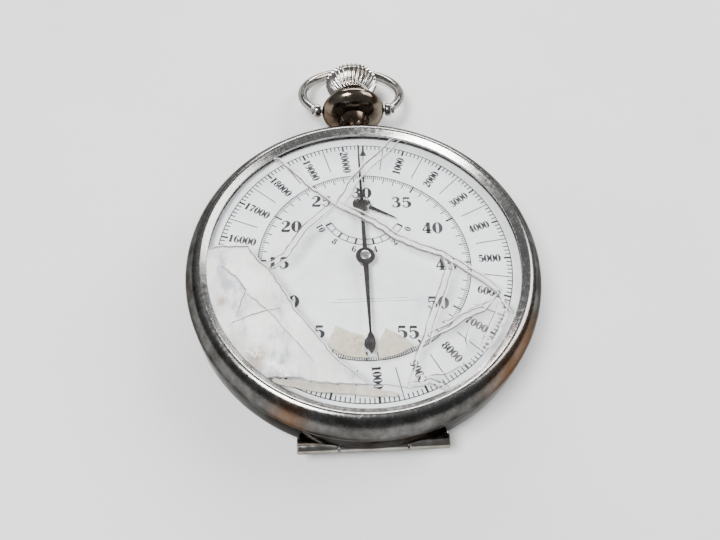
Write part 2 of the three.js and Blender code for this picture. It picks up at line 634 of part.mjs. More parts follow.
function makeBalanceCock() {
  const foot = disc(1.9, 3.4, PLATE_Z[0], [-19.4, -6.4], 12);
  const reach = arm([[-19.4, -6.4], BALANCE], 3.4, 2.4, 3.4);
  return cut(join(foot, reach), disc(PIVOT_HOLE, 2, 4, BALANCE, 8));
}

function makePalletBridge() {
  const bar = arm([[-2.4, -9.4], PALLET, [-7.6, -5.2]], 1.6, 5.0, 5.5);
  const foot = disc(0.8, 5.4, PLATE_Z[0], [-2.4, -9.4], 8);
  return cut(join(bar, foot), disc(PIVOT_HOLE, 4, 6, PALLET, 8));
}

addPiece(movementGroup, 'escape_wheel', makeEscapeWheel(), steel, ESCAPE);
addPiece(movementGroup, 'escape_pinion',
  makePinion(TRAIN.escapePinion, escapePhase, 3.8, 10.3, [[6.5, 6.9]]), steel, ESCAPE);
addPiece(movementGroup, 'pallet_lever', makePalletLever(), steel, PALLET);
addPiece(movementGroup, 'pallet_bridge', makePalletBridge(), gilt);
addPiece(movementGroup, 'balance_wheel', makeBalanceWheel(), gilt, BALANCE);
addPiece(movementGroup, 'balance_staff', makeBalanceStaff(), steel, BALANCE);
addPiece(movementGroup, 'hairspring', spiral(0.8, 4.6, 4, 0.1, 3.55, 3.85), blued, BALANCE);
addPiece(movementGroup, 'balance_cock', makeBalanceCock(), gilt);

// ---- Winding and start, stop and reset work -----------------------------------------------
const RATCHET_Z = [2.9, 3.6];
const ratchetPhase = 0;
const crownWheelPhase = meshPhase(BARREL, 40, ratchetPhase, CROWN_WHEEL, 34);

addPiece(movementGroup, 'barrel_arbor', join(disc(0.9, RATCHET_Z[0], 8.6, SWEEP, 10),
  disc(ARBOR_RADIUS, 8.5, 10.3, SWEEP, 8)), steel, BARREL);
addPiece(movementGroup, 'ratchet_wheel', cut(plate(gearShape(40, 0.3, ratchetPhase), ...RATCHET_Z),
  disc(0.9, 2, 5, SWEEP, 10)), steel, BARREL);
addPiece(movementGroup, 'crown_wheel', join(
  plate(gearShape(34, 0.3, crownWheelPhase), ...RATCHET_Z),
  disc(0.4, 3.5, 4.8, SWEEP, 8)), steel, CROWN_WHEEL);

function makeClick() {
  const towards = Math.atan2(BARREL[1] - CLICK[1], BARREL[0] - CLICK[0]);
  const tip = [1.55 * Math.cos(towards + 0.5), 1.55 * Math.sin(towards + 0.5)];
  return join(disc(0.75, ...RATCHET_Z, SWEEP, 8), arm([[0, 0], tip], 0.5, ...RATCHET_Z),
    disc(0.4, 3.5, 4.8, SWEEP, 8));
}

function makeOperatingLever() {
  return join(arm([[13.0, -0.4], [11.0, -0.4], [0, 0], [-3.0, -3.0], [-3.2, -5.2]], 1.2, 6.3, 7.1),
    disc(0.5, 5.0, PLATE_Z[0] - 0.1, SWEEP, 8));
}

// Column wheel: a ratchet with six upright columns under it.
function makeColumnWheel() {
  const columns = Array.from({ length: 6 }, (_, i) => {
    const angle = (i * Math.PI) / 3;
    return disc(0.42, 4.2, 5.5, [1.75 * Math.cos(angle), 1.75 * Math.sin(angle)], 6);
  });
  return join(plate(gearShape(18, 0.26), 5.4, 6.0), disc(0.5, 4.2, PLATE_Z[0] - 0.1, SWEEP, 8),
    ...columns);
}

function makeHammer() {
  const [x, y] = HAMMER;
  const points = [[-2.25, -1.4], [-5.6, 2.2], HAMMER, [0.3, 7.95]];
  return join(arm(points.map(([px, py]) => [px - x, py - y]), 0.9, 5.65, 6.2),
    disc(0.5, 5.65, PLATE_Z[0] - 0.1, SWEEP, 8));
}

function makeBrakeLever() {
  return join(arm([[1.6, 2.6], [0, 0], [5.6, -4.2]], 0.8, 4.0, 4.7),
    disc(0.5, 4.0, PLATE_Z[0] - 0.1, SWEEP, 8));
}

addPiece(movementGroup, 'click', makeClick(), steel, CLICK);
addPiece(movementGroup, 'operating_lever', makeOperatingLever(), steel, LEVER);
addPiece(movementGroup, 'column_wheel', makeColumnWheel(), steel, COLUMN);
addPiece(movementGroup, 'reset_hammer', makeHammer(), steel, HAMMER);
addPiece(movementGroup, 'brake_lever', makeBrakeLever(), steel, BRAKE);

export default watch;
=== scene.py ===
"""Looks of a hand-wound telemeter stopwatch with a cracked crystal, built round its CAD frame.

Lengths are written in millimetres and turned to metres when a mesh is made. The sweep arbor is
the Z axis, the crown points along +Y and the watch lies on its back on z = 0.
"""
import json
import math
import random

import bpy
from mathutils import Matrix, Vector
from mathutils.geometry import delaunay_2d_cdt


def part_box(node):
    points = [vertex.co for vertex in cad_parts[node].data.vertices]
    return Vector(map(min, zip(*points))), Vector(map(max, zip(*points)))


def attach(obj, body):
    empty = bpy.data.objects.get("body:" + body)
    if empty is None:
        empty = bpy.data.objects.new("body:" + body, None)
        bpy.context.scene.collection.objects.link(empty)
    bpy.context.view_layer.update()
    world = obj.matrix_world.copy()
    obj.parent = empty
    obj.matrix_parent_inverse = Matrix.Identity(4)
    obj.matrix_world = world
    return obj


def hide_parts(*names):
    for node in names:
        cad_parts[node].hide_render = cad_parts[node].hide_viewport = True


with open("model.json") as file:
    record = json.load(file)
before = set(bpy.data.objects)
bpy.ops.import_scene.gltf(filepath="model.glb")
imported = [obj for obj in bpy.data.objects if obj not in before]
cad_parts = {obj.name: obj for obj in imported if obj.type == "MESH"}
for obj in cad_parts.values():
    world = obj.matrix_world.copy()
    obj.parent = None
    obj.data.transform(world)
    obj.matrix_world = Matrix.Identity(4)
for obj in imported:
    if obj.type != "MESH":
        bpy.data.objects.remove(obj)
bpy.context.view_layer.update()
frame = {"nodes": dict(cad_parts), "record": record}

MM = 0.001
CASE_R = 28.0
DIAL_R = 24.9
DIAL_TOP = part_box("dial")[1].z / MM
TRACK_R = 23.2
STEM_Z = 6.4
HINGE_Y = -27.0
HINGE_Z = 4.3
HINGE_REACH = 11.2
HINGE_MIDDLE = 5.0
HINGE_GAP = 0.2
KNUCKLE_R = 1.1
HINGE_ROOM_R = 1.36
PENDANT_Y = 35.2
BOW_PIVOT_X = 6.6
BOW_PIVOT_Y = 35.6
BOW_R = 9.45
BOW_WIRE = 0.85
BOW_DROOP = math.radians(20)
DIAL_TURN = 2.4


# ---- Mesh helpers -------------------------------------------------------------------------
def new_piece(name, verts, faces, body, materials, replaces=(), smooth=True, face_slots=None):
    """A mesh object from millimetre vertices, riding on a CAD body."""
    mesh = bpy.data.meshes.new(name)
    mesh.from_pydata([tuple(c * MM for c in v) for v in verts], [], faces)
    mesh.validate()
    mesh.update()
    piece = bpy.data.objects.new(name, mesh)
    bpy.context.scene.collection.objects.link(piece)
    for material in materials:
        mesh.materials.append(material)
    for i, polygon in enumerate(mesh.polygons):
        polygon.use_smooth = smooth
        if face_slots:
            polygon.material_index = face_slots[i]
    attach(piece, body)
    if replaces:
        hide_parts(*replaces)
    return piece


def sharpen(piece, degrees=35):
    """Smooth shading that stops at edges sharper than the given angle."""
    for item in bpy.context.selected_objects:
        item.select_set(False)
    piece.select_set(True)
    bpy.context.view_layer.objects.active = piece
    bpy.ops.object.shade_smooth_by_angle(angle=math.radians(degrees))
    piece.select_set(False)
    return piece


def bevel(piece, width, segments=2):
    modifier = piece.modifiers.new("edge", "BEVEL")
    modifier.width = width * MM
    modifier.segments = segments
    modifier.limit_method = "ANGLE"
    modifier.angle_limit = math.radians(40)
    return piece


def spline(points, steps):
    """Vectors along a smooth line through points, which passes through every one of them."""
    line = []
    for i in range(len(points) - 1):
        before = Vector(points[max(i - 1, 0)])
        start, end = Vector(points[i]), Vector(points[i + 1])
        after = Vector(points[min(i + 2, len(points) - 1)])
        for k in range(steps):
            t = k / steps
            line.append(0.5 * ((2 * start) + (end - before) * t
                               + (2 * before - 5 * start + 4 * end - after) * t ** 2
                               + (3 * start - before - 3 * end + after) * t ** 3))
    return line


def rounded(points, steps=6):
    """A smooth profile through [radius, height] points."""
    line = spline(points, steps) + [Vector(points[-1])]
    return [(p.x, p.y) for p in line]


def turned(profile, segments, place, flute=None):
    """Vertices and faces of a closed profile of [radius, height] turned about an axis.

    place turns (radius, angle, height) into a point, and flute can change the radius by angle.
    """
    verts, faces, rings = [], [], []
    for radius, height in profile:
        if radius < 1e-6:
            rings.append([len(verts)])
            verts.append(place(0, 0, height))
            continue
        ring = []
        for k in range(segments):
            angle = 2 * math.pi * k / segments
            shown = flute(radius, height, angle) if flute else radius
            ring.append(len(verts))
            verts.append(place(shown, angle, height))
        rings.append(ring)
    closed = profile[0][0] > 1e-6
    pairs = list(zip(rings, rings[1:])) + ([(rings[-1], rings[0])] if closed else [])
    for low, high in pairs:
        if len(low) == 1 and len(high) == 1:
            continue
        for k in range(segments):
            n = (k + 1) % segments
            if len(low) == 1:
                faces.append((low[0], high[n], high[k]))
            elif len(high) == 1:
                faces.append((low[k], low[n], high[0]))
            else:
                faces.append((low[k], low[n], high[n], high[k]))
    return verts, faces


def about_z(x=0.0, y=0.0):
    """A place function for turned() about a vertical axis through x, y."""
    def place(r, a, h):
        return (x + r * math.cos(a), y + r * math.sin(a), h)
    return place


def about_stem(r, a, h):
    """A place on the crown's axis, which runs along Y."""
    return (r * math.sin(a), h, STEM_Z + r * math.cos(a))


def cut_hinge_room(piece, half_length):
    """Takes the round channel in which the hinge knuckles turn out of a piece."""
    bpy.ops.mesh.primitive_cylinder_add(vertices=64, radius=HINGE_ROOM_R * MM,
                                        depth=2 * half_length * MM,
                                        location=(0, HINGE_Y * MM, HINGE_Z * MM),
                                        rotation=(0, math.pi / 2, 0))
    cutter = bpy.context.object
    modifier = piece.modifiers.new("hinge_room", "BOOLEAN")
    modifier.object = cutter
    modifier.operation = "DIFFERENCE"
    modifier.solver = "EXACT"
    bpy.context.view_layer.objects.active = piece
    bpy.ops.object.modifier_apply(modifier=modifier.name)
    bpy.data.objects.remove(cutter, do_unlink=True)


class Slabs:
    """Collects thin flat prisms, such as print or hands, into one mesh."""

    def __init__(self, low, high):
        self.low, self.high = low, high
        self.verts, self.faces = [], []

    def add(self, outline):
        n, start = len(outline), len(self.verts)
        area = sum(a[0] * b[1] - b[0] * a[1] for a, b in zip(outline, outline[1:] + outline[:1]))
        points = outline if area > 0 else outline[::-1]
        self.verts += [(x, y, self.low) for x, y in points]
        self.verts += [(x, y, self.high) for x, y in points]
        self.faces.append([start + i for i in reversed(range(n))])
        self.faces.append([start + n + i for i in range(n)])
        for i in range(n):
            j = (i + 1) % n
            self.faces.append([start + i, start + j, start + n + j, start + n + i])

    def ring(self, middle, width, first=0.0, last=360.0, centre=(0, 0), steps=240):
        """A band along a circle, between two clock angles in degrees."""
        count = max(4, int(steps * (last - first) / 360))
        for i in range(count):
            a0 = first + (last - first) * i / count
            a1 = first + (last - first) * (i + 1) / count
            self.add([clock(a0, middle - width / 2, centre), clock(a0, middle + width / 2, centre),
                      clock(a1, middle + width / 2, centre), clock(a1, middle - width / 2, centre)])

    def ray(self, degrees, inner, outer, width, centre=(0, 0)):
        """A straight mark along a radius at a clock angle."""
        a = math.radians(degrees)
        sx, sy = math.cos(a) * width / 2, -math.sin(a) * width / 2
        (x0, y0), (x1, y1) = clock(degrees, inner, centre), clock(degrees, outer, centre)
        self.add([(x0 - sx, y0 - sy), (x0 + sx, y0 + sy), (x1 + sx, y1 + sy), (x1 - sx, y1 - sy)])


def clock(degrees, radius, centre=(0, 0)):
    a = math.radians(degrees)
    return (centre[0] + radius * math.sin(a), centre[1] + radius * math.cos(a))


# ---- Materials ----------------------------------------------------------------------------
class Nodes:
    """A short way to write a node material."""

    def __init__(self, name, **sockets):
        self.material = bpy.data.materials.new(name)
        self.material.use_nodes = True
        self.tree = self.material.node_tree
        self.shader = self.tree.nodes["Principled BSDF"]
        for key, value in sockets.items():
            self.shader.inputs[key.replace("_", " ")].default_value = value

    def add(self, kind, **settings):
        node = self.tree.nodes.new("ShaderNode" + kind)
        for key, value in settings.items():
            if hasattr(node, key):
                setattr(node, key, value)
            else:
                node.inputs[key.replace("_", " ")].default_value = value
        return node

    def link(self, source, target):
        self.tree.links.new(source, target)

    def place(self, scale=(1, 1, 1)):
        """Object coordinates in millimetres, stretched by scale."""
        coordinates = self.add("TexCoord")
        mapping = self.add("Mapping")
        mapping.inputs["Scale"].default_value = [s / MM for s in scale]
        self.link(coordinates.outputs["Object"], mapping.inputs["Vector"])
        return mapping.outputs["Vector"]

    def noise(self, scale, detail=4.0, stretch=(1, 1, 1), roughness=0.55):
        node = self.add("TexNoise", Scale=scale, Detail=detail, Roughness=roughness)
        self.link(self.place(stretch), node.inputs["Vector"])
        return node.outputs["Fac"]

    def ramp(self, source, stops):
        node = self.add("ValToRGB")
        elements = node.color_ramp.elements
        while len(elements) < len(stops):
            elements.new(0.5)
        for element, (position, color) in zip(elements, stops):
            element.position = position
            element.color = (*color, 1) if len(color) == 3 else color
        self.link(source, node.inputs["Fac"])
        return node.outputs["Color"]

    def grey(self, source, stops):
        return self.ramp(source, [(p, (v, v, v)) for p, v in stops])

    def color(self, source):
        self.link(source, self.shader.inputs["Base Color"])

    def roughness(self, source):
        self.link(source, self.shader.inputs["Roughness"])

    def bump(self, source, strength, distance):
        node = self.add("Bump", Strength=strength, Distance=distance * MM)
        self.link(source, node.inputs["Height"])
        self.link(node.outputs["Normal"], self.shader.inputs["Normal"])

    def spot(self, x, y, radius, softness):
        """One inside a round patch of the face, falling to zero outside it."""
        coordinates = self.add("TexCoord")
        mapping = self.add("Mapping")
        mapping.inputs["Location"].default_value = (-x, -y, 0)
        mapping.inputs["Scale"].default_value = (1 / MM, 1 / MM, 0)
        self.link(coordinates.outputs["Object"], mapping.inputs["Vector"])
        length = self.add("VectorMath", operation="LENGTH")
        self.link(mapping.outputs["Vector"], length.inputs[0])
        fade = self.add("MapRange")
        fade.inputs["From Min"].default_value = radius
        fade.inputs["From Max"].default_value = radius + softness
        fade.inputs["To Min"].default_value = 1.0
        fade.inputs["To Max"].default_value = 0.0
        self.link(length.outputs["Value"], fade.inputs["Value"])
        return fade.outputs["Result"]

    def mix(self, factor, first, second):
        node = self.add("Mix", data_type="RGBA")
        self.link(factor, node.inputs[0])
        for source, socket in ((first, node.inputs[6]), (second, node.inputs[7])):
            if isinstance(source, tuple):
                socket.default_value = (*source, 1)
            else:
                self.link(source, socket)
        return node.outputs[2]

    def maths(self, operation, first, second):
        node = self.add("Math", operation=operation)
        for source, socket in ((first, node.inputs[0]), (second, node.inputs[1])):
            if isinstance(source, (int, float)):
                socket.default_value = source
            else:
                self.link(source, socket)
        return node.outputs[0]


# Plated nickel. The base colours passed in are painted light and shade, not different metals: a low value
# stands for the dark surroundings the polish reflects, a high one for a lit part.
def polished_nickel(name, clean=(0.085, 0.083, 0.08), dull=(0.04, 0.032, 0.026)):
    m = Nodes(name, Metallic=1.0)
    tarnish = m.noise(0.16, detail=6.0, roughness=0.65)
    m.color(m.ramp(tarnish, [(0.36, dull), (0.56, clean)]))
    m.roughness(m.grey(m.noise(0.9, detail=8.0), [(0.35, 0.10), (0.72, 0.27)]))
    # The grey specular tint darkens the grazing reflections as painted shade.
    m.shader.inputs["Specular Tint"].default_value = (0.35, 0.35, 0.35, 1)
    m.bump(m.noise(6.0, detail=2.0, stretch=(0.15, 1.0, 1.0)), 0.05, 0.02)
    return m.material


def worn_bezel(name):
    """Grey satin metal painted dark for the surroundings it reflects, with a painted highlight on the inner
    lip and brownish patches low down on the right.
    """
    m = Nodes(name, Metallic=1.0)
    patches = m.noise(0.35, detail=4.0, roughness=0.6)
    # Random patches on a painted-dark level that stands for reflected dark surroundings.
    wear_and_painted_dark = m.ramp(patches, [(0.30, (0.055, 0.05, 0.046)), (0.50, (0.095, 0.092, 0.088)),
                            (0.70, (0.16, 0.157, 0.153))])
    # Brownish patches low down.
    brown = m.maths("MAXIMUM", m.spot(21.0, -17.0, 3.0, 6.0), m.spot(-12.0, -24.5, 0.8, 3.0))
    browned = m.mix(m.maths("MULTIPLY", brown, 0.65), wear_and_painted_dark, (0.16, 0.085, 0.045))
    # Painted highlight: everything inside radius 25.5 mm, the inner lip, is lightened towards light grey.
    painted_lip_highlight = m.spot(0.0, 0.0, 25.5, 0.8)
    m.color(m.mix(m.maths("MULTIPLY", painted_lip_highlight, 0.6), browned, (0.50, 0.49, 0.475)))
    m.roughness(m.grey(m.noise(1.6, detail=9.0, roughness=0.7), [(0.30, 0.10), (0.70, 0.32)]))
    # The grey specular tint darkens the grazing reflections as painted shade.
    m.shader.inputs["Specular Tint"].default_value = (0.35, 0.35, 0.35, 1)
    m.bump(m.noise(3.2, detail=8.0), 0.16, 0.05)
    return m.material


def white_enamel(name):
    m = Nodes(name)
    m.shader.inputs["Coat Weight"].default_value = 0.25
    m.shader.inputs["Coat Roughness"].default_value = 0.2
    clean = m.ramp(m.noise(0.35, detail=6.0, roughness=0.6),
                   [(0.30, (0.75, 0.77, 0.80)), (0.50, (0.84, 0.86, 0.88)), (0.70, (0.88, 0.89, 0.91))])
    dust = m.maths("MAXIMUM", m.spot(-0.6, -2.6, 0.3, 1.6), m.spot(-2.2, 10.6, 0.2, 3.0))
    flecks = m.grey(m.noise(1.1, detail=5.0), [(0.52, 0.0), (0.62, 0.6)])
    m.color(m.mix(m.maths("MULTIPLY", dust, flecks), clean, (0.50, 0.40, 0.26)))
    m.roughness(m.grey(m.noise(2.5), [(0.3, 0.34), (0.7, 0.5)]))
    m.bump(m.noise(5.0, detail=3.0), 0.05, 0.02)
    return m.material


def print_ink(name, color=(0.006, 0.006, 0.009)):
    m = Nodes(name)
    m.color(m.ramp(m.noise(4.0, detail=6.0), [(0.25, tuple(c * 3 for c in color)), (0.5, color)]))
    m.roughness(m.grey(m.noise(3.0), [(0.3, 0.4), (0.7, 0.6)]))
    return m.material


def gloss_black(name):
    m = Nodes(name)
    m.shader.inputs["Coat Weight"].default_value = 0.6
    m.shader.inputs["Coat Roughness"].default_value = 0.08
    m.color(m.ramp(m.noise(2.0, detail=5.0), [(0.3, (0.004, 0.004, 0.005)), (0.7, (0.018, 0.016, 0.015))]))
    m.roughness(m.grey(m.noise(5.0, detail=6.0), [(0.3, 0.16), (0.7, 0.34)]))
    return m.material


def clear_celluloid(name, low=0.0, high=0.035):
    m = Nodes(name, IOR=1.5)
    m.color(m.ramp(m.noise(0.3), [(0.35, (0.80, 0.78, 0.70)), (0.65, (0.92, 0.92, 0.90))]))
    smudge = m.noise(0.22, detail=9.0, roughness=0.68)
    m.link(m.grey(smudge, [(0.42, low), (0.75, high)]), m.shader.inputs["Alpha"])
    m.roughness(m.grey(m.noise(0.8, detail=7.0), [(0.35, 0.06), (0.75, 0.26)]))
    m.bump(m.noise(0.25, detail=3.0), 0.25, 0.4)
    return m.material


def milky_celluloid(name):
    """Fogged celluloid: white clouds with grey-blue bands of painted shade, clearer in between, with two
    brown stains.
    """
    m = Nodes(name, IOR=1.5)
    streaks = m.noise(0.20, detail=9.0, stretch=(1.0, 0.40, 1.0), roughness=0.66)
    # The grey-blue low end of this ramp is painted shade in bands across the fog.
    fog_and_painted_shade = m.ramp(streaks, [(0.38, (0.50, 0.52, 0.56)), (0.45, (0.86, 0.86, 0.85)),
                            (0.52, (1.0, 0.99, 0.96)), (0.68, (1.0, 1.0, 1.0))])
    stain = m.maths("MAXIMUM", m.spot(*clock(251, 22.8), 0.15, 0.9), m.spot(*clock(225, 23), 0.4, 1.8))
    m.color(m.mix(m.maths("MULTIPLY", stain, 0.7), fog_and_painted_shade, (0.36, 0.24, 0.12)))
    veil = m.grey(m.noise(0.15, detail=8.0, stretch=(0.6, 1.0, 1.0), roughness=0.62),
                  [(0.36, 0.52), (0.58, 0.95)])
    m.link(veil, m.shader.inputs["Alpha"])
    m.roughness(m.grey(m.noise(0.9, detail=6.0), [(0.35, 0.10), (0.72, 0.36)]))
    m.bump(m.noise(0.22, detail=5.0), 0.6, 0.8)
    return m.material


def broken_edge(name, alpha=(0.45, 0.95), tint=(0.90, 0.88, 0.80)):
    """The crushed white face of a crack; in bright white and near-black the same sheet also makes the
    painted glints and painted shadows along the cracks.
    """
    m = Nodes(name, IOR=1.5)
    m.color(m.ramp(m.noise(1.4, detail=6.0), [(0.3, tuple(c * 0.78 for c in tint)), (0.7, tint)]))
    m.link(m.grey(m.noise(0.9, detail=6.0), [(0.35, alpha[0]), (0.65, alpha[1])]),
           m.shader.inputs["Alpha"])
    m.roughness(m.grey(m.noise(4.0), [(0.3, 0.25), (0.7, 0.6)]))
    return m.material


def gilt_brass(name):
    m = Nodes(name, Metallic=1.0)
    m.color(m.ramp(m.noise(0.5, detail=7.0), [(0.3, (0.55, 0.36, 0.13)), (0.7, (0.80, 0.60, 0.28))]))
    m.roughness(m.grey(m.noise(5.0, detail=4.0), [(0.3, 0.28), (0.7, 0.46)]))
    m.bump(m.noise(18.0, detail=2.0), 0.12, 0.02)
    return m.material


def cut_steel(name, color=(0.52, 0.53, 0.54), turned_marks=True):
    m = Nodes(name, Metallic=1.0)
    grain = (0.12, 1.0, 1.0) if turned_marks else (1.0, 1.0, 1.0)
    m.color(m.ramp(m.noise(0.8, detail=5.0), [(0.3, tuple(c * 0.75 for c in color)), (0.7, color)]))
    m.roughness(m.grey(m.noise(9.0, detail=4.0, stretch=grain), [(0.3, 0.18), (0.7, 0.36)]))
    m.bump(m.noise(14.0, detail=2.0, stretch=grain), 0.08, 0.01)
    return m.material


# One plated nickel in lit and shaded copies. The case copy is painted dark for the dark surroundings it
# reflects. The pendant, the bow and hinge, and the crown copies are painted lighter step by step for how
# brightly each catches the light.
NICKEL = polished_nickel("nickel_case")
DARK_NICKEL = polished_nickel("nickel_pendant", (0.20, 0.175, 0.14), (0.075, 0.045, 0.028))
BOW_NICKEL = polished_nickel("nickel_bow", (0.36, 0.35, 0.33), (0.20, 0.17, 0.14))
BRIGHT_NICKEL = polished_nickel("nickel_crown", (0.58, 0.57, 0.54), (0.34, 0.31, 0.27))
BEZEL_METAL = worn_bezel("bezel_nickel")
ENAMEL = white_enamel("white_dial")
INK = print_ink("dial_ink")
HAND_BLACK = gloss_black("black_hand")
CLEAR = clear_celluloid("celluloid_clear")
HAZY = clear_celluloid("celluloid_hazy", 0.0, 0.10)
MILKY = milky_celluloid("celluloid_milky")
CRACK = broken_edge("celluloid_crack", (0.55, 0.95), (0.62, 0.61, 0.58))
GLINT = broken_edge("celluloid_glint", (0.6, 1.0), (0.97, 0.97, 0.95))
SHADE = broken_edge("celluloid_shade", (0.5, 0.9), (0.16, 0.15, 0.14))
FLAKE = broken_edge("celluloid_flake", (0.40, 0.85), (0.66, 0.60, 0.46))
BEIGE = broken_edge("celluloid_beige", (0.75, 1.0), (0.66, 0.61, 0.52))
BRASS = gilt_brass("gilt_brass")
STEEL = cut_steel("steel")
BLUED = cut_steel("blued_steel", (0.05, 0.09, 0.26))
SLOT_MATERIALS = {
    "nickel_case": NICKEL, "bezel_nickel": BEZEL_METAL, "gilt_brass": BRASS, "steel": STEEL,
    "blued_steel": BLUED, "white_dial": ENAMEL, "black_hand": HAND_BLACK, "celluloid": CLEAR,
}


# ---- Case ---------------------------------------------------------------------------------
AROUND = 256


def make_case_band():
    outer = rounded([(27.2, 4.05), (27.85, 4.35), (CASE_R, 5.2), (CASE_R, 8.2), (27.9, 9.0),
                     (27.3, 9.15)], 5)
    profile = outer + [(26.6, 9.15), (26.6, 9.9), (25.0, 9.9), (25.0, 8.9), (23.6, 8.9), (23.6, 8.3),
                       (25.0, 8.3), (25.0, 3.3), (26.3, 3.3), (26.3, 4.05)]
    verts, faces = turned(profile, AROUND, about_z())
    band = new_piece("case_band", verts, faces, "case", [NICKEL], ["case_middle"])
    cut_hinge_room(band, 11.5)
    return sharpen(band)


def make_pendant():
    """Neck, flattened ball and the collar under the crown, bored for the stem."""
    ball = [(5.8 * math.cos(a), PENDANT_Y + 2.7 * math.sin(a))
            for a in [math.radians(d) for d in range(-60, 77, 8)]]
    waist = rounded([(2.8, 28.15), (3.05, 28.9), (2.7, 30.2), (2.6, 31.6)], 4)
    neck = [(2.35, 26.8), (2.35, 28.05)] + waist
    profile = [(1.5, 26.8)] + neck + ball + [(1.5, ball[-1][1])]
    verts, faces = turned(profile, 96, about_stem)
    pendant = new_piece("pendant", verts, faces, "case", [DARK_NICKEL], ["case_middle"])
    return sharpen(pendant)


def make_bezel():
    skirt = rounded([(28.0, 9.25), (27.95, 10.2), (27.55, 11.3), (26.75, 12.45), (26.0, 13.05)], 6)
    painted_lip_highlight = rounded([(25.6, 13.2), (25.3, 13.17), (24.8, 12.85), (24.4, 12.6)], 4)
    profile = skirt + painted_lip_highlight + [(24.36, 12.36), (25.2, 12.36), (25.2, 11.62), (24.5, 11.5), (25.2, 11.2),
                             (25.2, 10.2), (26.8, 10.2), (26.8, 9.25)]
    verts, faces = turned(profile, AROUND, about_z())
    ring = new_piece("bezel_ring", verts, faces, "case", [BEZEL_METAL], ["bezel"])
    return sharpen(ring)


def make_back_cover():
    wall = rounded([(21.2, 0.03), (24.2, 0.6), (26.6, 1.95), (27.6, 3.2), (27.8, 3.8)], 6)
    outside = [(0, 0), (20.2, 0)] + wall
    inside = [(27.7, 3.9), (26.6, 3.9), (26.5, 3.1)] + rounded([(26.2, 2.8), (23.9, 1.35), (20.3, 0.7)], 5)
    verts, faces = turned(outside + inside + [(0, 0.7)], AROUND, about_z())
    cover = new_piece("back_cover_shell", verts, faces, "back_cover", [NICKEL],
                      ["back_cover"])
    cut_hinge_room(cover, 5.2)
    return sharpen(cover)


COVER_RIM_R = 26.6


def make_hinge():
    """Three knuckles: the middle one belongs to the case and the outer two to the back cover."""
    y, z = HINGE_Y, HINGE_Z

    def along(r, a, h):
        return (h, y + r * math.cos(a), z + r * math.sin(a))

    near = HINGE_MIDDLE + HINGE_GAP
    spans = {"case": [(-HINGE_MIDDLE, HINGE_MIDDLE)],
             "back_cover": [(-HINGE_REACH, -near), (near, HINGE_REACH)]}
    for body, pieces in spans.items():
        for low, high in pieces:
            profile = [(0.55, low), (0.95, low), (KNUCKLE_R, low + 0.15), (KNUCKLE_R, high - 0.15),
                       (0.95, high), (0.55, high)]
            verts, faces = turned(profile, 40, along)
            side = "middle" if body == "case" else ("left" if low < 0 else "right")
            sharpen(new_piece(f"hinge_knuckle_{side}", verts, faces, body, [BOW_NICKEL]))
            if body == "case":
                leaf = Slabs(4.15, 5.2)
                leaf.add([(low + 0.1, y), (high - 0.1, y), (high - 0.1, -25.3), (low + 0.1, -25.3)])
            else:
                leaf = Slabs(3.15, 3.88)
                across = [low + (high - low) * i / 8 for i in range(9)]
                rim = [(x, -math.sqrt(COVER_RIM_R ** 2 - x * x)) for x in across]
                leaf.add([(low, y - 0.6), (high, y - 0.6)] + rim[::-1])
            plate = new_piece(f"hinge_leaf_{side}", leaf.verts, leaf.faces, body,
                              [BOW_NICKEL], smooth=False)
            bevel(plate, 0.1)


# ---- Crown, bow and screws ----------------------------------------------------------------
FLUTES = 34


def make_crown():
    """Fluted knob that flares outward from the pendant and ends in a plain dome."""
    grip = rounded([(3.0, 39.25), (3.5, 39.9), (4.25, 40.8), (4.78, 41.7), (4.88, 42.5), (4.45, 43.3),
                    (3.5, 43.85)], 5)
    cap = rounded([(3.3, 43.86), (2.2, 44.02), (1.0, 44.09)], 3) + [(0, 44.1)]
    profile = [(0, 39.2), (2.9, 39.2)] + grip + cap

    def flute(radius, height, angle):
        if height > 43.9 or radius < 3.0:
            return radius
        depth = 0.50 * min(1.0, (height - 39.2) / 0.6, (43.95 - height) / 0.5)
        return radius - depth * (0.5 - 0.5 * math.cos(FLUTES * angle)) ** 0.7

    verts, faces = turned(profile, FLUTES * 10, about_stem, flute)
    knob = new_piece("crown_knob", verts, faces, "crown", [BRIGHT_NICKEL], ["crown"])
    return sharpen(knob, 50)


def make_bow():
    """A round wire bent to most of a circle, with a flattened eye at each end."""
    rise = math.sqrt(BOW_R ** 2 - BOW_PIVOT_X ** 2)
    first = math.atan2(-rise, BOW_PIVOT_X)
    last = math.pi - first
    along, around = 120, 24
    verts, faces = [], []
    for i in range(along + 1):
        a = first + (last - first) * i / along
        end = min(i, along - i) / along
        wire = BOW_WIRE * (0.80 + 0.20 * min(1.0, end / 0.12))
        for k in range(around):
            t = 2 * math.pi * k / around
            out = wire * math.cos(t)
            verts.append(drooped(((BOW_R + out) * math.cos(a), rise + (BOW_R + out) * math.sin(a),
                                  wire * math.sin(t))))
    for i in range(along):
        for k in range(around):
            n = (k + 1) % around
            a, b = i * around, (i + 1) * around
            faces.append((a + k, b + k, b + n, a + n))
    faces.append(list(range(around)))
    faces.append([along * around + k for k in reversed(range(around))])
    wire = new_piece("bow_wire", verts, faces, "bow", [BOW_NICKEL], ["bow"])
    sharpen(wire)
    for side, name in ((-1, "left"), (1, "right")):
        ball = [(0.0, 6.0), (0.85, 6.02), (1.13, 6.25), (1.2, 6.6), (1.13, 6.95), (0.85, 7.18), (0.0, 7.2)]
        profile = ball if side > 0 else [(r, -h) for r, h in reversed(ball)]
        verts, faces = turned(profile, 32, across_bow)
        sharpen(new_piece(f"bow_eye_{name}", verts, faces, "bow", [BOW_NICKEL]))


def across_bow(r, a, h):
    """A place on the bow's pivot axis, which runs along X."""
    return drooped((h, r * math.cos(a), r * math.sin(a)))


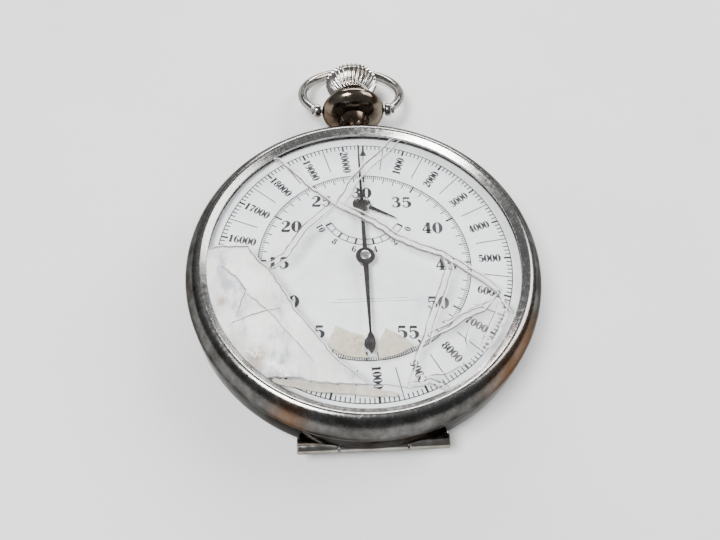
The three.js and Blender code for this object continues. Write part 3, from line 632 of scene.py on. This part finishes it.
def drooped(point):
    """A point of the upright bow, let down towards the table by its droop."""
    x, y, z = point
    c, s = math.cos(BOW_DROOP), math.sin(BOW_DROOP)
    return (x, BOW_PIVOT_Y + y * c + z * s, STEM_Z - y * s + z * c)


# ---- Dial ---------------------------------------------------------------------------------
FULL_TURN_METRES = 20500
REGISTER = (0.0, 10.2)
INK_LOW = DIAL_TOP + 0.004
INK_HIGH = DIAL_TOP + 0.03


def turned_centre(point):
    """A point of the print, which sits a little clockwise of the crown."""
    a = math.radians(-DIAL_TURN)
    x, y = point
    return (x * math.cos(a) - y * math.sin(a), x * math.sin(a) + y * math.cos(a))


def make_dial():
    profile = [(0.9, 10.6), (DIAL_R, 10.6), (DIAL_R, DIAL_TOP - 0.12), (DIAL_R - 0.12, DIAL_TOP),
               (0.9, DIAL_TOP)]
    verts, faces = turned(profile, AROUND, about_z())
    sharpen(new_piece("dial_disc", verts, faces, "case", [ENAMEL], ["dial"]))


def print_piece(name, slabs):
    new_piece(name, slabs.verts, slabs.faces, "case", [INK], smooth=False)


def make_tracks():
    slabs = Slabs(INK_LOW, INK_HIGH)
    slabs.ring(TRACK_R, 0.15)
    for hundred in range(FULL_TURN_METRES // 100):
        angle = DIAL_TURN + 360 * hundred * 100 / FULL_TURN_METRES
        if hundred % 10 == 0:
            slabs.ray(angle, TRACK_R - 1.1, TRACK_R, 0.34)
        elif hundred % 5 == 0:
            slabs.ray(angle, TRACK_R * 0.785, TRACK_R, 0.15)
        else:
            slabs.ray(angle, TRACK_R - 0.8, TRACK_R, 0.19)
    seconds_r = TRACK_R * 0.721
    slabs.ring(seconds_r, 0.14)
    for fifth in range(300):
        angle = DIAL_TURN + 180 + 1.2 * fifth
        if fifth % 25 == 0:
            slabs.ray(angle, seconds_r - 1.35, seconds_r, 0.32)
        elif fifth % 5 == 0:
            slabs.ray(angle, seconds_r - 1.25, seconds_r, 0.17)
        else:
            slabs.ray(angle, seconds_r - 0.62, seconds_r, 0.13)
    print_piece("dial_tracks", slabs)


def make_register():
    slabs = Slabs(INK_LOW, INK_HIGH)
    centre = turned_centre(REGISTER)
    inner, outer = TRACK_R * 0.263, TRACK_R * 0.307
    for radius in (inner, outer):
        slabs.ring(radius, 0.14, 120 + DIAL_TURN, 240 + DIAL_TURN, centre)
    for minute in range(11):
        angle = DIAL_TURN + 120 + 12 * minute
        slabs.ray(angle, inner, outer, 0.34 if minute % 2 == 0 else 0.17, centre)
        if minute % 2 == 0:
            spot = clock(angle, outer + 0.98, centre)
            write(slabs, str(minute), spot, 1.15, math.radians(180 - angle), bold=1.35)
    print_piece("dial_register", slabs)


# Digits in a bold upright with hairlines and ball ends. Each stroke lists x, y and pen width
# in a box one unit high; a stroke is smoothed, and a pair of points stays straight.
def oval(cx, cy, rx, ry, thick, thin=0.055):
    points = []
    for i in range(21):
        a = 2 * math.pi * i / 20
        pen = thin + (thick - thin) * math.cos(a) ** 2
        points.append((cx + rx * math.cos(a), cy + ry * math.sin(a), pen))
    return points


SIX = [(0.47, 0.80, 0.05), (0.41, 0.93, 0.05), (0.30, 0.965, 0.06), (0.17, 0.84, 0.12), (0.11, 0.55, 0.18),
       (0.14, 0.22, 0.15), (0.30, 0.035, 0.055), (0.46, 0.14, 0.12), (0.50, 0.31, 0.17), (0.44, 0.49, 0.11),
       (0.31, 0.565, 0.055), (0.16, 0.46, 0.05)]
DIGITS = {
    "0": [oval(0.30, 0.5, 0.205, 0.47, 0.19)],
    "1": [[(0.30, 0.02, 0.19), (0.30, 0.98, 0.19)], [(0.10, 0.03, 0.06), (0.50, 0.03, 0.06)],
          [(0.10, 0.80, 0.05), (0.28, 0.95, 0.07)]],
    "2": [[(0.13, 0.70, 0.20), (0.13, 0.74, 0.20)],
          [(0.08, 0.74, 0.06), (0.16, 0.92, 0.06), (0.31, 0.965, 0.08), (0.45, 0.84, 0.16),
           (0.45, 0.66, 0.18), (0.32, 0.44, 0.11), (0.15, 0.26, 0.07), (0.06, 0.10, 0.06)],
          [(0.05, 0.09, 0.17), (0.53, 0.09, 0.17)], [(0.53, 0.05, 0.06), (0.56, 0.28, 0.05)]],
    "3": [[(0.13, 0.76, 0.18), (0.13, 0.79, 0.18)], [(0.13, 0.21, 0.18), (0.13, 0.24, 0.18)],
          [(0.09, 0.80, 0.06), (0.17, 0.93, 0.06), (0.30, 0.965, 0.07), (0.43, 0.85, 0.15),
           (0.42, 0.67, 0.15), (0.33, 0.56, 0.07), (0.20, 0.53, 0.05)],
          [(0.20, 0.53, 0.05), (0.36, 0.51, 0.08), (0.48, 0.38, 0.17), (0.47, 0.17, 0.16),
           (0.31, 0.035, 0.07), (0.16, 0.07, 0.06), (0.08, 0.20, 0.06)]],
    "4": [[(0.37, 0.95, 0.06), (0.05, 0.29, 0.06)], [(0.02, 0.27, 0.08), (0.58, 0.27, 0.08)],
          [(0.39, 0.02, 0.18), (0.39, 0.98, 0.18)], [(0.20, 0.03, 0.06), (0.57, 0.03, 0.06)]],
    "5": [[(0.12, 0.89, 0.15), (0.50, 0.89, 0.15)], [(0.12, 0.95, 0.05), (0.10, 0.48, 0.05)],
          [(0.13, 0.21, 0.18), (0.13, 0.24, 0.18)],
          [(0.10, 0.50, 0.05), (0.22, 0.60, 0.06), (0.36, 0.58, 0.10), (0.48, 0.43, 0.18),
           (0.47, 0.20, 0.16), (0.32, 0.035, 0.07), (0.17, 0.06, 0.06), (0.08, 0.20, 0.06)]],
    "6": [[(0.44, 0.79, 0.16), (0.44, 0.82, 0.16)], SIX],
    "7": [[(0.06, 0.89, 0.16), (0.55, 0.89, 0.16)], [(0.07, 0.96, 0.05), (0.05, 0.70, 0.05)],
          [(0.53, 0.84, 0.06), (0.40, 0.58, 0.08), (0.30, 0.34, 0.14), (0.27, 0.02, 0.20)]],
    "8": [oval(0.30, 0.755, 0.155, 0.21, 0.15), oval(0.30, 0.285, 0.20, 0.25, 0.18)],
    "9": [[(0.16, 0.21, 0.16), (0.16, 0.18, 0.16)], [(0.60 - x, 1.0 - y, w) for x, y, w in SIX]],
}
ADVANCE = 0.66


STROKE_STEPS = 3


def smooth_stroke(points):
    if len(points) == 2:
        return points
    return [tuple(p) for p in spline(points, STROKE_STEPS)] + [points[-1]]


def write(slabs, text, centre, height, angle, bold=1.0, squeeze=1.0):
    """Digits of the given height round a centre, turned anticlockwise by angle."""
    c, s = math.cos(angle), math.sin(angle)
    width = ADVANCE * (len(text) - 1) + 0.60
    for place, digit in enumerate(text):
        for stroke in DIGITS[digit]:
            line = smooth_stroke(stroke)
            left, right = [], []
            for i, (x, y, pen) in enumerate(line):
                ax, ay = line[max(i - 1, 0)][:2]
                bx, by = line[min(i + 1, len(line) - 1)][:2]
                length = math.hypot(bx - ax, by - ay) or 1.0
                nx, ny = -(by - ay) / length, (bx - ax) / length
                for side, edge in ((left, 0.5), (right, -0.5)):
                    px = (x + nx * pen * bold * edge + place * ADVANCE - width / 2) * squeeze
                    py = y + ny * pen * bold * edge - 0.5
                    side.append((centre[0] + height * (px * c - py * s),
                                 centre[1] + height * (px * s + py * c)))
            for i in range(len(line) - 1):
                slabs.add([left[i], left[i + 1], right[i + 1], right[i]])


def make_numbers():
    telemeter = Slabs(INK_LOW, INK_HIGH)
    for thousand in range(1, 21):
        angle = 360 * thousand * 1000 / FULL_TURN_METRES + DIAL_TURN
        outward = thousand <= 10
        spot = clock(angle, TRACK_R * 0.853)
        lean = math.radians((90 if outward else 270) - angle)
        write(telemeter, str(thousand * 1000), spot, 1.34, lean, bold=1.5, squeeze=1.02)
    print_piece("dial_telemeter_numbers", telemeter)
    seconds = Slabs(INK_LOW, INK_HIGH)
    for mark in range(5, 65, 5):
        angle = math.radians(DIAL_TURN + 180 + 6 * mark)
        spot = (TRACK_R * 0.567 * math.sin(angle) - 0.4, TRACK_R * 0.585 * math.cos(angle) - 0.35)
        write(seconds, str(mark), spot, 2.15, -math.radians(DIAL_TURN), bold=1.3, squeeze=1.22)
    print_piece("dial_seconds_numbers", seconds)


def make_zero_mark():
    """Small arrow at the zero of the telemeter and two fine lines under the centre."""
    slabs = Slabs(INK_LOW, INK_HIGH)
    slabs.ray(DIAL_TURN, TRACK_R * 0.862, TRACK_R * 0.93, 0.16)
    tip, base = clock(DIAL_TURN, TRACK_R * 0.965), clock(DIAL_TURN, TRACK_R * 0.905)
    slabs.add([tip, (base[0] + 0.62, base[1]), (base[0] - 0.62, base[1])])
    for low, reach in ((-6.6, 4.6), (-7.1, 5.6)):
        slabs.add([(-reach, low), (reach * 1.4, low), (reach * 1.4, low + 0.035), (-reach, low + 0.035)])
    print_piece("dial_zero_mark", slabs)


# ---- Hands --------------------------------------------------------------------------------
def make_sweep_hand():
    slabs = Slabs(12.6, 12.8)
    slabs.add([(-0.13, 21.9), (0.0, 22.1), (0.13, 21.9), (0.36, 1.2), (-0.36, 1.2)])
    slabs.add([(-0.44, -1.2), (0.44, -1.2), (0.17, -12.9), (-0.17, -12.9)])
    leaf = [(0.70 * math.sin(math.pi * t) ** 0.8 * (1 if t < 1 else 0), -12.7 - 3.7 * t)
            for t in [i / 12 for i in range(13)]]
    slabs.add([(0.17, -12.7)] + leaf[1:-1] + [(0, -16.45)] + [(-x, y) for x, y in reversed(leaf[1:-1])]
              + [(-0.17, -12.7)])
    blade = new_piece("sweep_hand_blade", slabs.verts, slabs.faces, "sweep", [HAND_BLACK],
                      ["sweep_hand"], smooth=False)
    bevel(blade, 0.05)
    verts, faces = turned([(0, 12.5), (1.42, 12.5), (1.5, 12.58), (1.5, 12.84), (1.42, 12.92), (0, 12.92)],
                          64, about_z())
    sharpen(new_piece("sweep_hand_hub", verts, faces, "sweep", [HAND_BLACK]))
    verts, faces = turned([(0, 12.9), (0.8, 12.9), (0.84, 12.98), (0.8, 13.1), (0.55, 13.18), (0, 13.2)],
                          48, about_z())
    sharpen(new_piece("sweep_hand_cap", verts, faces, "sweep", [STEEL]))


def make_minute_hand():
    slabs = Slabs(12.0, 12.2)
    x, y = REGISTER
    along = math.radians(118)
    ux, uy = math.sin(along), math.cos(along)
    slabs.add([(x + ux * d + uy * w, y + uy * d - ux * w)
               for d, w in ((0.9, 0.42), (5.6, 0.14), (6.4, 0.0), (5.6, -0.14), (0.9, -0.42))])
    blade = new_piece("minute_hand_blade", slabs.verts, slabs.faces, "minute", [HAND_BLACK],
                      ["minute_hand"], smooth=False)
    bevel(blade, 0.04)
    profile = [(0, 11.9), (1.38, 11.9), (1.46, 11.98), (1.46, 12.16), (1.3, 12.28), (0.5, 12.34),
               (0, 12.35)]
    verts, faces = turned(profile, 64, about_z(x, y))
    sharpen(new_piece("minute_hand_hub", verts, faces, "minute", [HAND_BLACK]))


# ---- Cracked crystal ----------------------------------------------------------------------
CRYSTAL_TOP = 14.7
CRYSTAL_SAG = 1.1
CRYSTAL_THICK = 0.5
SHOULDER_R = 22.8
RIM_R = 24.7
JUNCTION = (333, 9.5)


def crystal_height(r):
    if r <= SHOULDER_R:
        return CRYSTAL_TOP - CRYSTAL_SAG * (r / SHOULDER_R) ** 2
    t = min(1.0, (r - SHOULDER_R) / 1.6)
    return CRYSTAL_TOP - CRYSTAL_SAG - 1.32 * t ** 1.4


def crack_line(points, wobble, seed):
    """Points every millimetre along a crack, with a seeded sideways wobble between its corners."""
    chance = random.Random(seed)
    line = []
    for (x0, y0), (x1, y1) in zip(points, points[1:]):
        length = math.hypot(x1 - x0, y1 - y0)
        count = max(1, round(length / 0.9))
        for k in range(count):
            t = k / count
            off = 0.0 if k == 0 else chance.uniform(-wobble, wobble)
            line.append((x0 + (x1 - x0) * t - (y1 - y0) / length * off,
                         y0 + (y1 - y0) * t + (x1 - x0) / length * off))
    line.append(points[-1])
    return line


def rim_arc(first, last):
    """Rim points clockwise from one clock angle to another."""
    count = max(2, round(abs(last - first) / 2.5))
    return [clock(first + (last - first) * i / count, RIM_R) for i in range(count + 1)]


# The cracks' corners are clock places: degrees clockwise from the crown, then millimetres from the
# centre of the dial.
MAIN_FORK = (96, 11.5)
MAIN_TIP = (112, 21)
MILKY_CORNER = (260, 15)
MILKY_FOOT = (182, 21.3)
FOLD_KNEE = (155, 17)
FOLD_END = (168, 22.5)
PATHS = {
    "top_left": [(324, RIM_R), (325, 19.5), (326, 15), JUNCTION],
    "top_right": [JUNCTION, (352, 13.5), (3, 17), (10, 20), (16, RIM_R)],
    "main": [JUNCTION, (15, 5), (72, 5.2), (90, 8), MAIN_FORK],
    "main_low": [MAIN_FORK, (102, 14), (108, 18), MAIN_TIP],
    "main_end": [MAIN_TIP, (117, RIM_R)],
    "left": [JUNCTION, (308, 9), (290, 9.8), (265, 12), MILKY_CORNER],
    "milky_top": [(275, RIM_R), (275, 18), (267, 16.5), MILKY_CORNER],
    "milky_side": [MILKY_CORNER, (240, 14), (230, 14.5), (212, 15.5), (197, 18), MILKY_FOOT],
    "milky_foot": [MILKY_FOOT, (190, 21.4), (200, 22), (209, 22.6), (219, RIM_R)],
    "fold": [MAIN_FORK, (106, 12.6), (127, 12.9), (145, 14.8), FOLD_KNEE],
    "fold_low": [FOLD_KNEE, (160, 18.3), (165, 20.8), FOLD_END],
    "wedge": [FOLD_KNEE, (142, 17.5), (130, 18.3), (122, 20), MAIN_TIP],
    "bite_middle": [FOLD_END, (175, 21.5), MILKY_FOOT],
    "bite_right": [(155, RIM_R), (160, 22.8), FOLD_END],
}
CRACK_WOBBLE = 0.12
CRACKS = {name: crack_line([clock(*corner) for corner in path], CRACK_WOBBLE, seed)
          for seed, (name, path) in enumerate(PATHS.items(), 1)}


def loop_of(*parts):
    """One closed outline from crack names, '-name' for a crack run backwards, and rim spans."""
    outline = []
    for part in parts:
        if isinstance(part, tuple):
            line = rim_arc(*part)
        else:
            line = CRACKS[part.lstrip("-")]
            line = line[::-1] if part.startswith("-") else line
        outline += line[:-1]
    return outline


# Each fragment: outline, material, how far it has sunk, and its lean about X and Y in degrees.
FRAGMENTS = {
    "crystal_upper_left": (loop_of("top_left", "left", "-milky_top", (275, 324)), CLEAR, 0.05, 0.25, -0.3),
    "crystal_top": (loop_of("-top_left", (-36, 16), "-top_right"), CLEAR, 0.0, 0.3, 0.2),
    "crystal_right": (loop_of("top_right", (16, 117), "-main_end", "-main_low", "-main"), CLEAR,
                      0.02, -0.2, 0.25),
    "crystal_centre": (loop_of("main", "fold", "fold_low", "bite_middle", "-milky_side", "-left"), CLEAR,
                       0.12, -0.5, 0.15),
    "crystal_wedge": (loop_of("main_low", "-wedge", "-fold"), HAZY, 0.20, 0.6, -0.6),
    "crystal_lower_right": (loop_of("wedge", "main_end", (117, 155), "bite_right", "-fold_low"), HAZY,
                            0.10, 0.5, 0.3),
    "crystal_milky": (loop_of("milky_top", "milky_side", "milky_foot", (219, 275)), MILKY, 0.06, -0.2, 0.3),
}


def make_fragment(name, outline, material, sink, lean_x, lean_y, replaces):
    """A curved sheet filled to a cracked outline, closed with crushed walls."""
    cx = sum(p[0] for p in outline) / len(outline)
    cy = sum(p[1] for p in outline) / len(outline)
    shrunk = [(x + (cx - x) * 0.0035, y + (cy - y) * 0.0035) for x, y in outline]
    count = len(shrunk)
    border = [(i, (i + 1) % count) for i in range(count)]
    inner = []
    step = 1.5
    for i in range(-17, 18):
        for j in range(-17, 18):
            x, y = i * step + 0.013, j * step + 0.007
            if inside(x, y, shrunk) and distance_to(x, y, shrunk) > 0.5:
                inner.append((x, y))
    corners = [Vector(p) for p in shrunk + inner]
    points, _, triangles, _, _, _ = delaunay_2d_cdt(corners, border, [], 1, 1e-5)
    tx, ty = math.radians(lean_x), math.radians(lean_y)

    def lifted(p, down):
        height = crystal_height(math.hypot(p[0], p[1])) - down
        free = max(0.0, min(1.0, (23.6 - math.hypot(p[0], p[1])) / 4.0))
        return (p[0], p[1], height + free * (-sink + (p[1] - cy) * tx + (p[0] - cx) * ty))

    verts = [lifted(p, 0.0) for p in points] + [lifted(p, CRYSTAL_THICK) for p in points]
    n = len(points)
    faces, slots, edges = [], [], {}
    for tri in triangles:
        a, b, c = tri
        ccw = ((points[b][0] - points[a][0]) * (points[c][1] - points[a][1])
               - (points[c][0] - points[a][0]) * (points[b][1] - points[a][1])) > 0
        order = (a, b, c) if ccw else (a, c, b)
        faces += [order, tuple(n + v for v in reversed(order))]
        slots += [0, 0]
        for u, v in zip(order, order[1:] + order[:1]):
            edges[(u, v)] = True
    for u, v in list(edges):
        if (v, u) not in edges:
            faces.append((v, u, n + u, n + v))
            slots.append(1)
    piece = new_piece(name, verts, faces, "case", [material, CRACK], replaces,
                      face_slots=slots)
    sharpen(piece, 40)


def inside(x, y, outline):
    hit = False
    for (x0, y0), (x1, y1) in zip(outline, outline[1:] + outline[:1]):
        if (y0 > y) != (y1 > y) and x < (x1 - x0) * (y - y0) / (y1 - y0) + x0:
            hit = not hit
    return hit


def distance_to(x, y, outline):
    best = 1e9
    for (x0, y0), (x1, y1) in zip(outline, outline[1:] + outline[:1]):
        dx, dy = x1 - x0, y1 - y0
        t = max(0.0, min(1.0, ((x - x0) * dx + (y - y0) * dy) / (dx * dx + dy * dy + 1e-12)))
        best = min(best, math.hypot(x - x0 - t * dx, y - y0 - t * dy))
    return best


def make_crystal():
    shards = sorted(n for n in frame["nodes"] if n.startswith("crystal_shard"))
    for i, (name, (outline, material, sink, lx, ly)) in enumerate(FRAGMENTS.items()):
        make_fragment(name, outline, material, sink, lx, ly, shards if i == 0 else [])


# Fine lines on the crystal, each a bright edge painted as a glint with a painted shadow beside it: the
# cracks or the clock places that it follows, how far it stands to the left of them, and its width.
LINES = [
    (("main", "main_low"), 0.0, 0.34),
    (("main", "main_low"), 0.9, 0.22),
    (("top_right",), 0.0, 0.18),
    (("top_right",), -1.3, 0.14),
    (("top_left",), 0.0, 0.24),
    (("left",), 0.0, 0.22),
    (("left",), -0.9, 0.26),
    (("milky_top",), 0.0, 0.18),
    (("milky_side",), 0.0, 0.16),
    (("fold", "fold_low"), 0.0, 0.26),
    (("fold",), 0.9, 0.20),
    (("wedge",), 0.0, 0.22),
    (("wedge",), 0.8, 0.16),
    (("bite_right",), -0.5, 0.26),
    ([(266, 22), (260, 20), (252, 19), (246, 20.5), (242, 22)], 0.0, 0.16),
    ([(250, 19), (236, 17.5), (218, 18), (205, 19.5)], 0.0, 0.12),
    ([(241, 23.5), (240, 20), (235, 16)], 0.0, 0.12),
    ([(140, 16), (133, 17), (125, 18), (117, 20), MAIN_TIP], 0.0, 0.14),
    ([MAIN_TIP, (115, 22), (117, 23.5)], 0.0, 0.24),
    ([(114, 22.5), (122, 23), (130, 23.2), (137, 23.3)], 0.0, 0.30),
    ([(115, 21.5), (123, 21.6), (131, 22), (138, 22.8)], 0.0, 0.20),
    ([(133, 19.6), (138, 20.4), (140, 21.5)], 0.0, 0.22),
    ([(164, 21.4), (153, 22.5), (141, 23.3)], 0.0, 0.16),
]


def beside(line, distance):
    """The same line moved to its left by a distance."""
    moved = []
    for i, (x, y) in enumerate(line):
        ax, ay = line[max(i - 1, 0)]
        bx, by = line[min(i + 1, len(line) - 1)]
        length = math.hypot(bx - ax, by - ay)
        moved.append((x - (by - ay) / length * distance, y + (bx - ax) / length * distance))
    return moved


def ribbon(verts, faces, line, width, seed):
    """Adds a thin raised strip along a line, following the dome and narrowing at both ends."""
    chance = random.Random(seed)
    start, last = len(verts), len(line) - 1
    halves = [0.5 * width * min(1.0, 0.25 + 3.0 * min(i, last - i) / last) * chance.uniform(0.45, 1.25)
              for i in range(last + 1)]
    left, right = beside(line, 1.0), beside(line, -1.0)
    for i, (x, y) in enumerate(line):
        half = halves[i]
        top = crystal_height(math.hypot(x, y)) + 0.03
        corners = [(x + (ex - x) * half, y + (ey - y) * half) for ex, ey in (right[i], left[i])]
        verts += [(*corners[0], top), (*corners[1], top),
                  (*corners[1], top - 0.1), (*corners[0], top - 0.1)]
    for i in range(last):
        a = start + 4 * i
        for k in range(4):
            n = (k + 1) % 4
            faces.append((a + k, a + 4 + k, a + 4 + n, a + n))
    end = start + 4 * last
    faces += [(start, start + 1, start + 2, start + 3), (end + 3, end + 2, end + 1, end)]


def make_crack_lines():
    # Bright ribbons are painted glints; dark ribbons are painted shadows.
    for material, name, side, share in ((GLINT, "bright", 0.6, 1.3), (SHADE, "dark", -0.6, 0.75)):
        verts, faces = [], []
        for seed, (route, distance, width) in enumerate(LINES):
            if isinstance(route, tuple):
                line = CRACKS[route[0]] + [p for part in route[1:] for p in CRACKS[part][1:]]
            else:
                line = crack_line([clock(*corner) for corner in route], CRACK_WOBBLE, 40 + seed)
            line = beside(line, distance + side * width)
            ribbon(verts, faces, line, width * share, 80 + seed)
        new_piece(f"crack_lines_{name}", verts, faces, "case", [material], smooth=False)


# Loose flakes of crystal that stand under the centre fragment, beside the hand's short arm.
FLAKES = {
    "flake_left": [(203, 13), (193, 13.5), (184, 13.8), (184, 16.2), (182, 17.2), (193, 17.2),
                   (203, 16.4)],
    "flake_right": [(170, 12.8), (161, 15.3), (159, 16.8), (168, 17.2), (177, 17.4), (177, 15.4),
                    (174, 14)],
}


def make_flakes():
    for seed, (name, places) in enumerate(FLAKES.items()):
        slabs = Slabs(13.06, 13.34)
        corners = [clock(*place) for place in places]
        slabs.add(crack_line(corners + corners[:1], 0.06, 20 + seed)[:-1])
        new_piece(name, slabs.verts, slabs.faces, "case", [FLAKE, SHADE], smooth=False,
                  face_slots=[0, 0] + [1] * (len(slabs.faces) - 2))


def make_chips():
    """Splinters of crystal heaped where the cracks meet the rim on the right, coloured bright white as
    painted glints.
    """
    chance = random.Random(7)
    heaps = [((115, 22.3), 5, 1.6), ((131, 22.8), 4, 1.3), ((229, 23.6), 4, 1.2), ((160, 22.6), 3, 1.0)]
    verts, faces = [], []
    for place, count, spread in heaps:
        x, y = clock(*place)
        for _ in range(count):
            cx, cy = x + chance.uniform(-spread, spread), y + chance.uniform(-spread, spread)
            turn, size = chance.uniform(0, 2 * math.pi), chance.uniform(0.35, 0.85)
            top = crystal_height(math.hypot(cx, cy)) + chance.uniform(0.12, 0.3)
            start = len(verts)
            for level in (0.12, 0.0):
                for k, reach in enumerate((1.0, 0.45, 0.8)):
                    a = turn + 2.1 * k
                    verts.append((cx + size * reach * math.cos(a), cy + size * reach * math.sin(a),
                                  top - level + 0.12 * (k - 1) * size))
            faces += [(start + 2, start + 1, start), (start + 3, start + 4, start + 5)]
            for k in range(3):
                n = (k + 1) % 3
                faces.append((start + k, start + n, start + 3 + n, start + 3 + k))
    new_piece("crystal_glint_chips", verts, faces, "case", [GLINT], smooth=False)


def make_beige_strip():
    """The crushed lower edge of the milky fragment, seen as a beige strip."""
    lower = [(216, 24.6), (200, 23), (183, 22.4), (172, 23)]
    upper = [(216, 23.8), (201, 21.7), (183, 21.1), (172, 22.4)]
    low = crack_line([clock(*place) for place in lower], 0.10, 30)
    high = crack_line([clock(*place) for place in upper], 0.10, 31)
    slabs = Slabs(12.1, 12.3)
    slabs.add(low + high[::-1])
    new_piece("crystal_broken_lip", slabs.verts, slabs.faces, "case", [BEIGE], smooth=False)


# ---- Carried-over CAD nodes ---------------------------------------------------------------
def dress_cad_nodes():
    slots = {row["node"]: row["material_slot"] for row in frame["record"]["subparts"]}
    for name, node in frame["nodes"].items():
        if node.hide_render:
            continue
        node.data.materials.clear()
        node.data.materials.append(SLOT_MATERIALS[slots[name]])
        sharpen(node, 30)


# ---- Stage --------------------------------------------------------------------------------
def make_floor():
    m = Nodes("floor_pale", Roughness=0.7)
    m.color(m.ramp(m.noise(0.02, detail=3.0), [(0.3, (0.74, 0.74, 0.73)), (0.7, (0.79, 0.79, 0.78))]))
    bpy.ops.mesh.primitive_plane_add(size=6.0, location=(0, 0, -0.0002))
    floor = bpy.context.object
    floor.name = "floor"
    floor.data.materials.append(m.material)


def add_light(name, location, aim, size, power, color=(1, 1, 1)):
    data = bpy.data.lights.new(name, "AREA")
    data.shape = "RECTANGLE"
    data.size, data.size_y = size
    data.energy = power
    data.color = color
    light = bpy.data.objects.new(name, data)
    light.location = location
    light.rotation_euler = (Vector(aim) - Vector(location)).to_track_quat("-Z", "Y").to_euler()
    bpy.context.scene.collection.objects.link(light)


def make_lights():
    centre = (0, 0, 0.01)
    add_light("key", (-0.16, -0.10, 0.42), centre, (0.16, 0.16), 3.6)
    add_light("fill", (0.30, 0.10, 0.30), centre, (0.25, 0.25), 1.6)
    add_light("rim", (0.02, 0.34, 0.16), centre, (0.30, 0.08), 1.4)
    world = bpy.data.worlds.new("studio")
    world.use_nodes = True
    world.node_tree.nodes["Background"].inputs["Color"].default_value = (0.55, 0.56, 0.58, 1)
    world.node_tree.nodes["Background"].inputs["Strength"].default_value = 0.45
    bpy.context.scene.world = world


def make_camera():
    data = bpy.data.cameras.new("camera")
    data.lens = 35.0
    data.sensor_width = 36.0
    data.clip_start = 0.001
    camera = bpy.data.objects.new("camera", data)
    camera.location = (-0.306 * TRACK_R * MM, -2.382 * TRACK_R * MM, (4.083 * TRACK_R + DIAL_TOP) * MM)
    camera.rotation_euler = (math.radians(29.67), math.radians(-2.0), math.radians(-3.12))
    bpy.context.scene.collection.objects.link(camera)
    bpy.context.scene.camera = camera


make_camera()
make_floor()
make_lights()
make_case_band()
make_pendant()
make_bezel()
make_back_cover()
make_hinge()
make_crown()
make_bow()
make_dial()
make_tracks()
make_register()
make_numbers()
make_zero_mark()
make_sweep_hand()
make_minute_hand()
make_crystal()
make_crack_lines()
make_flakes()
make_chips()
make_beige_strip()
dress_cad_nodes()
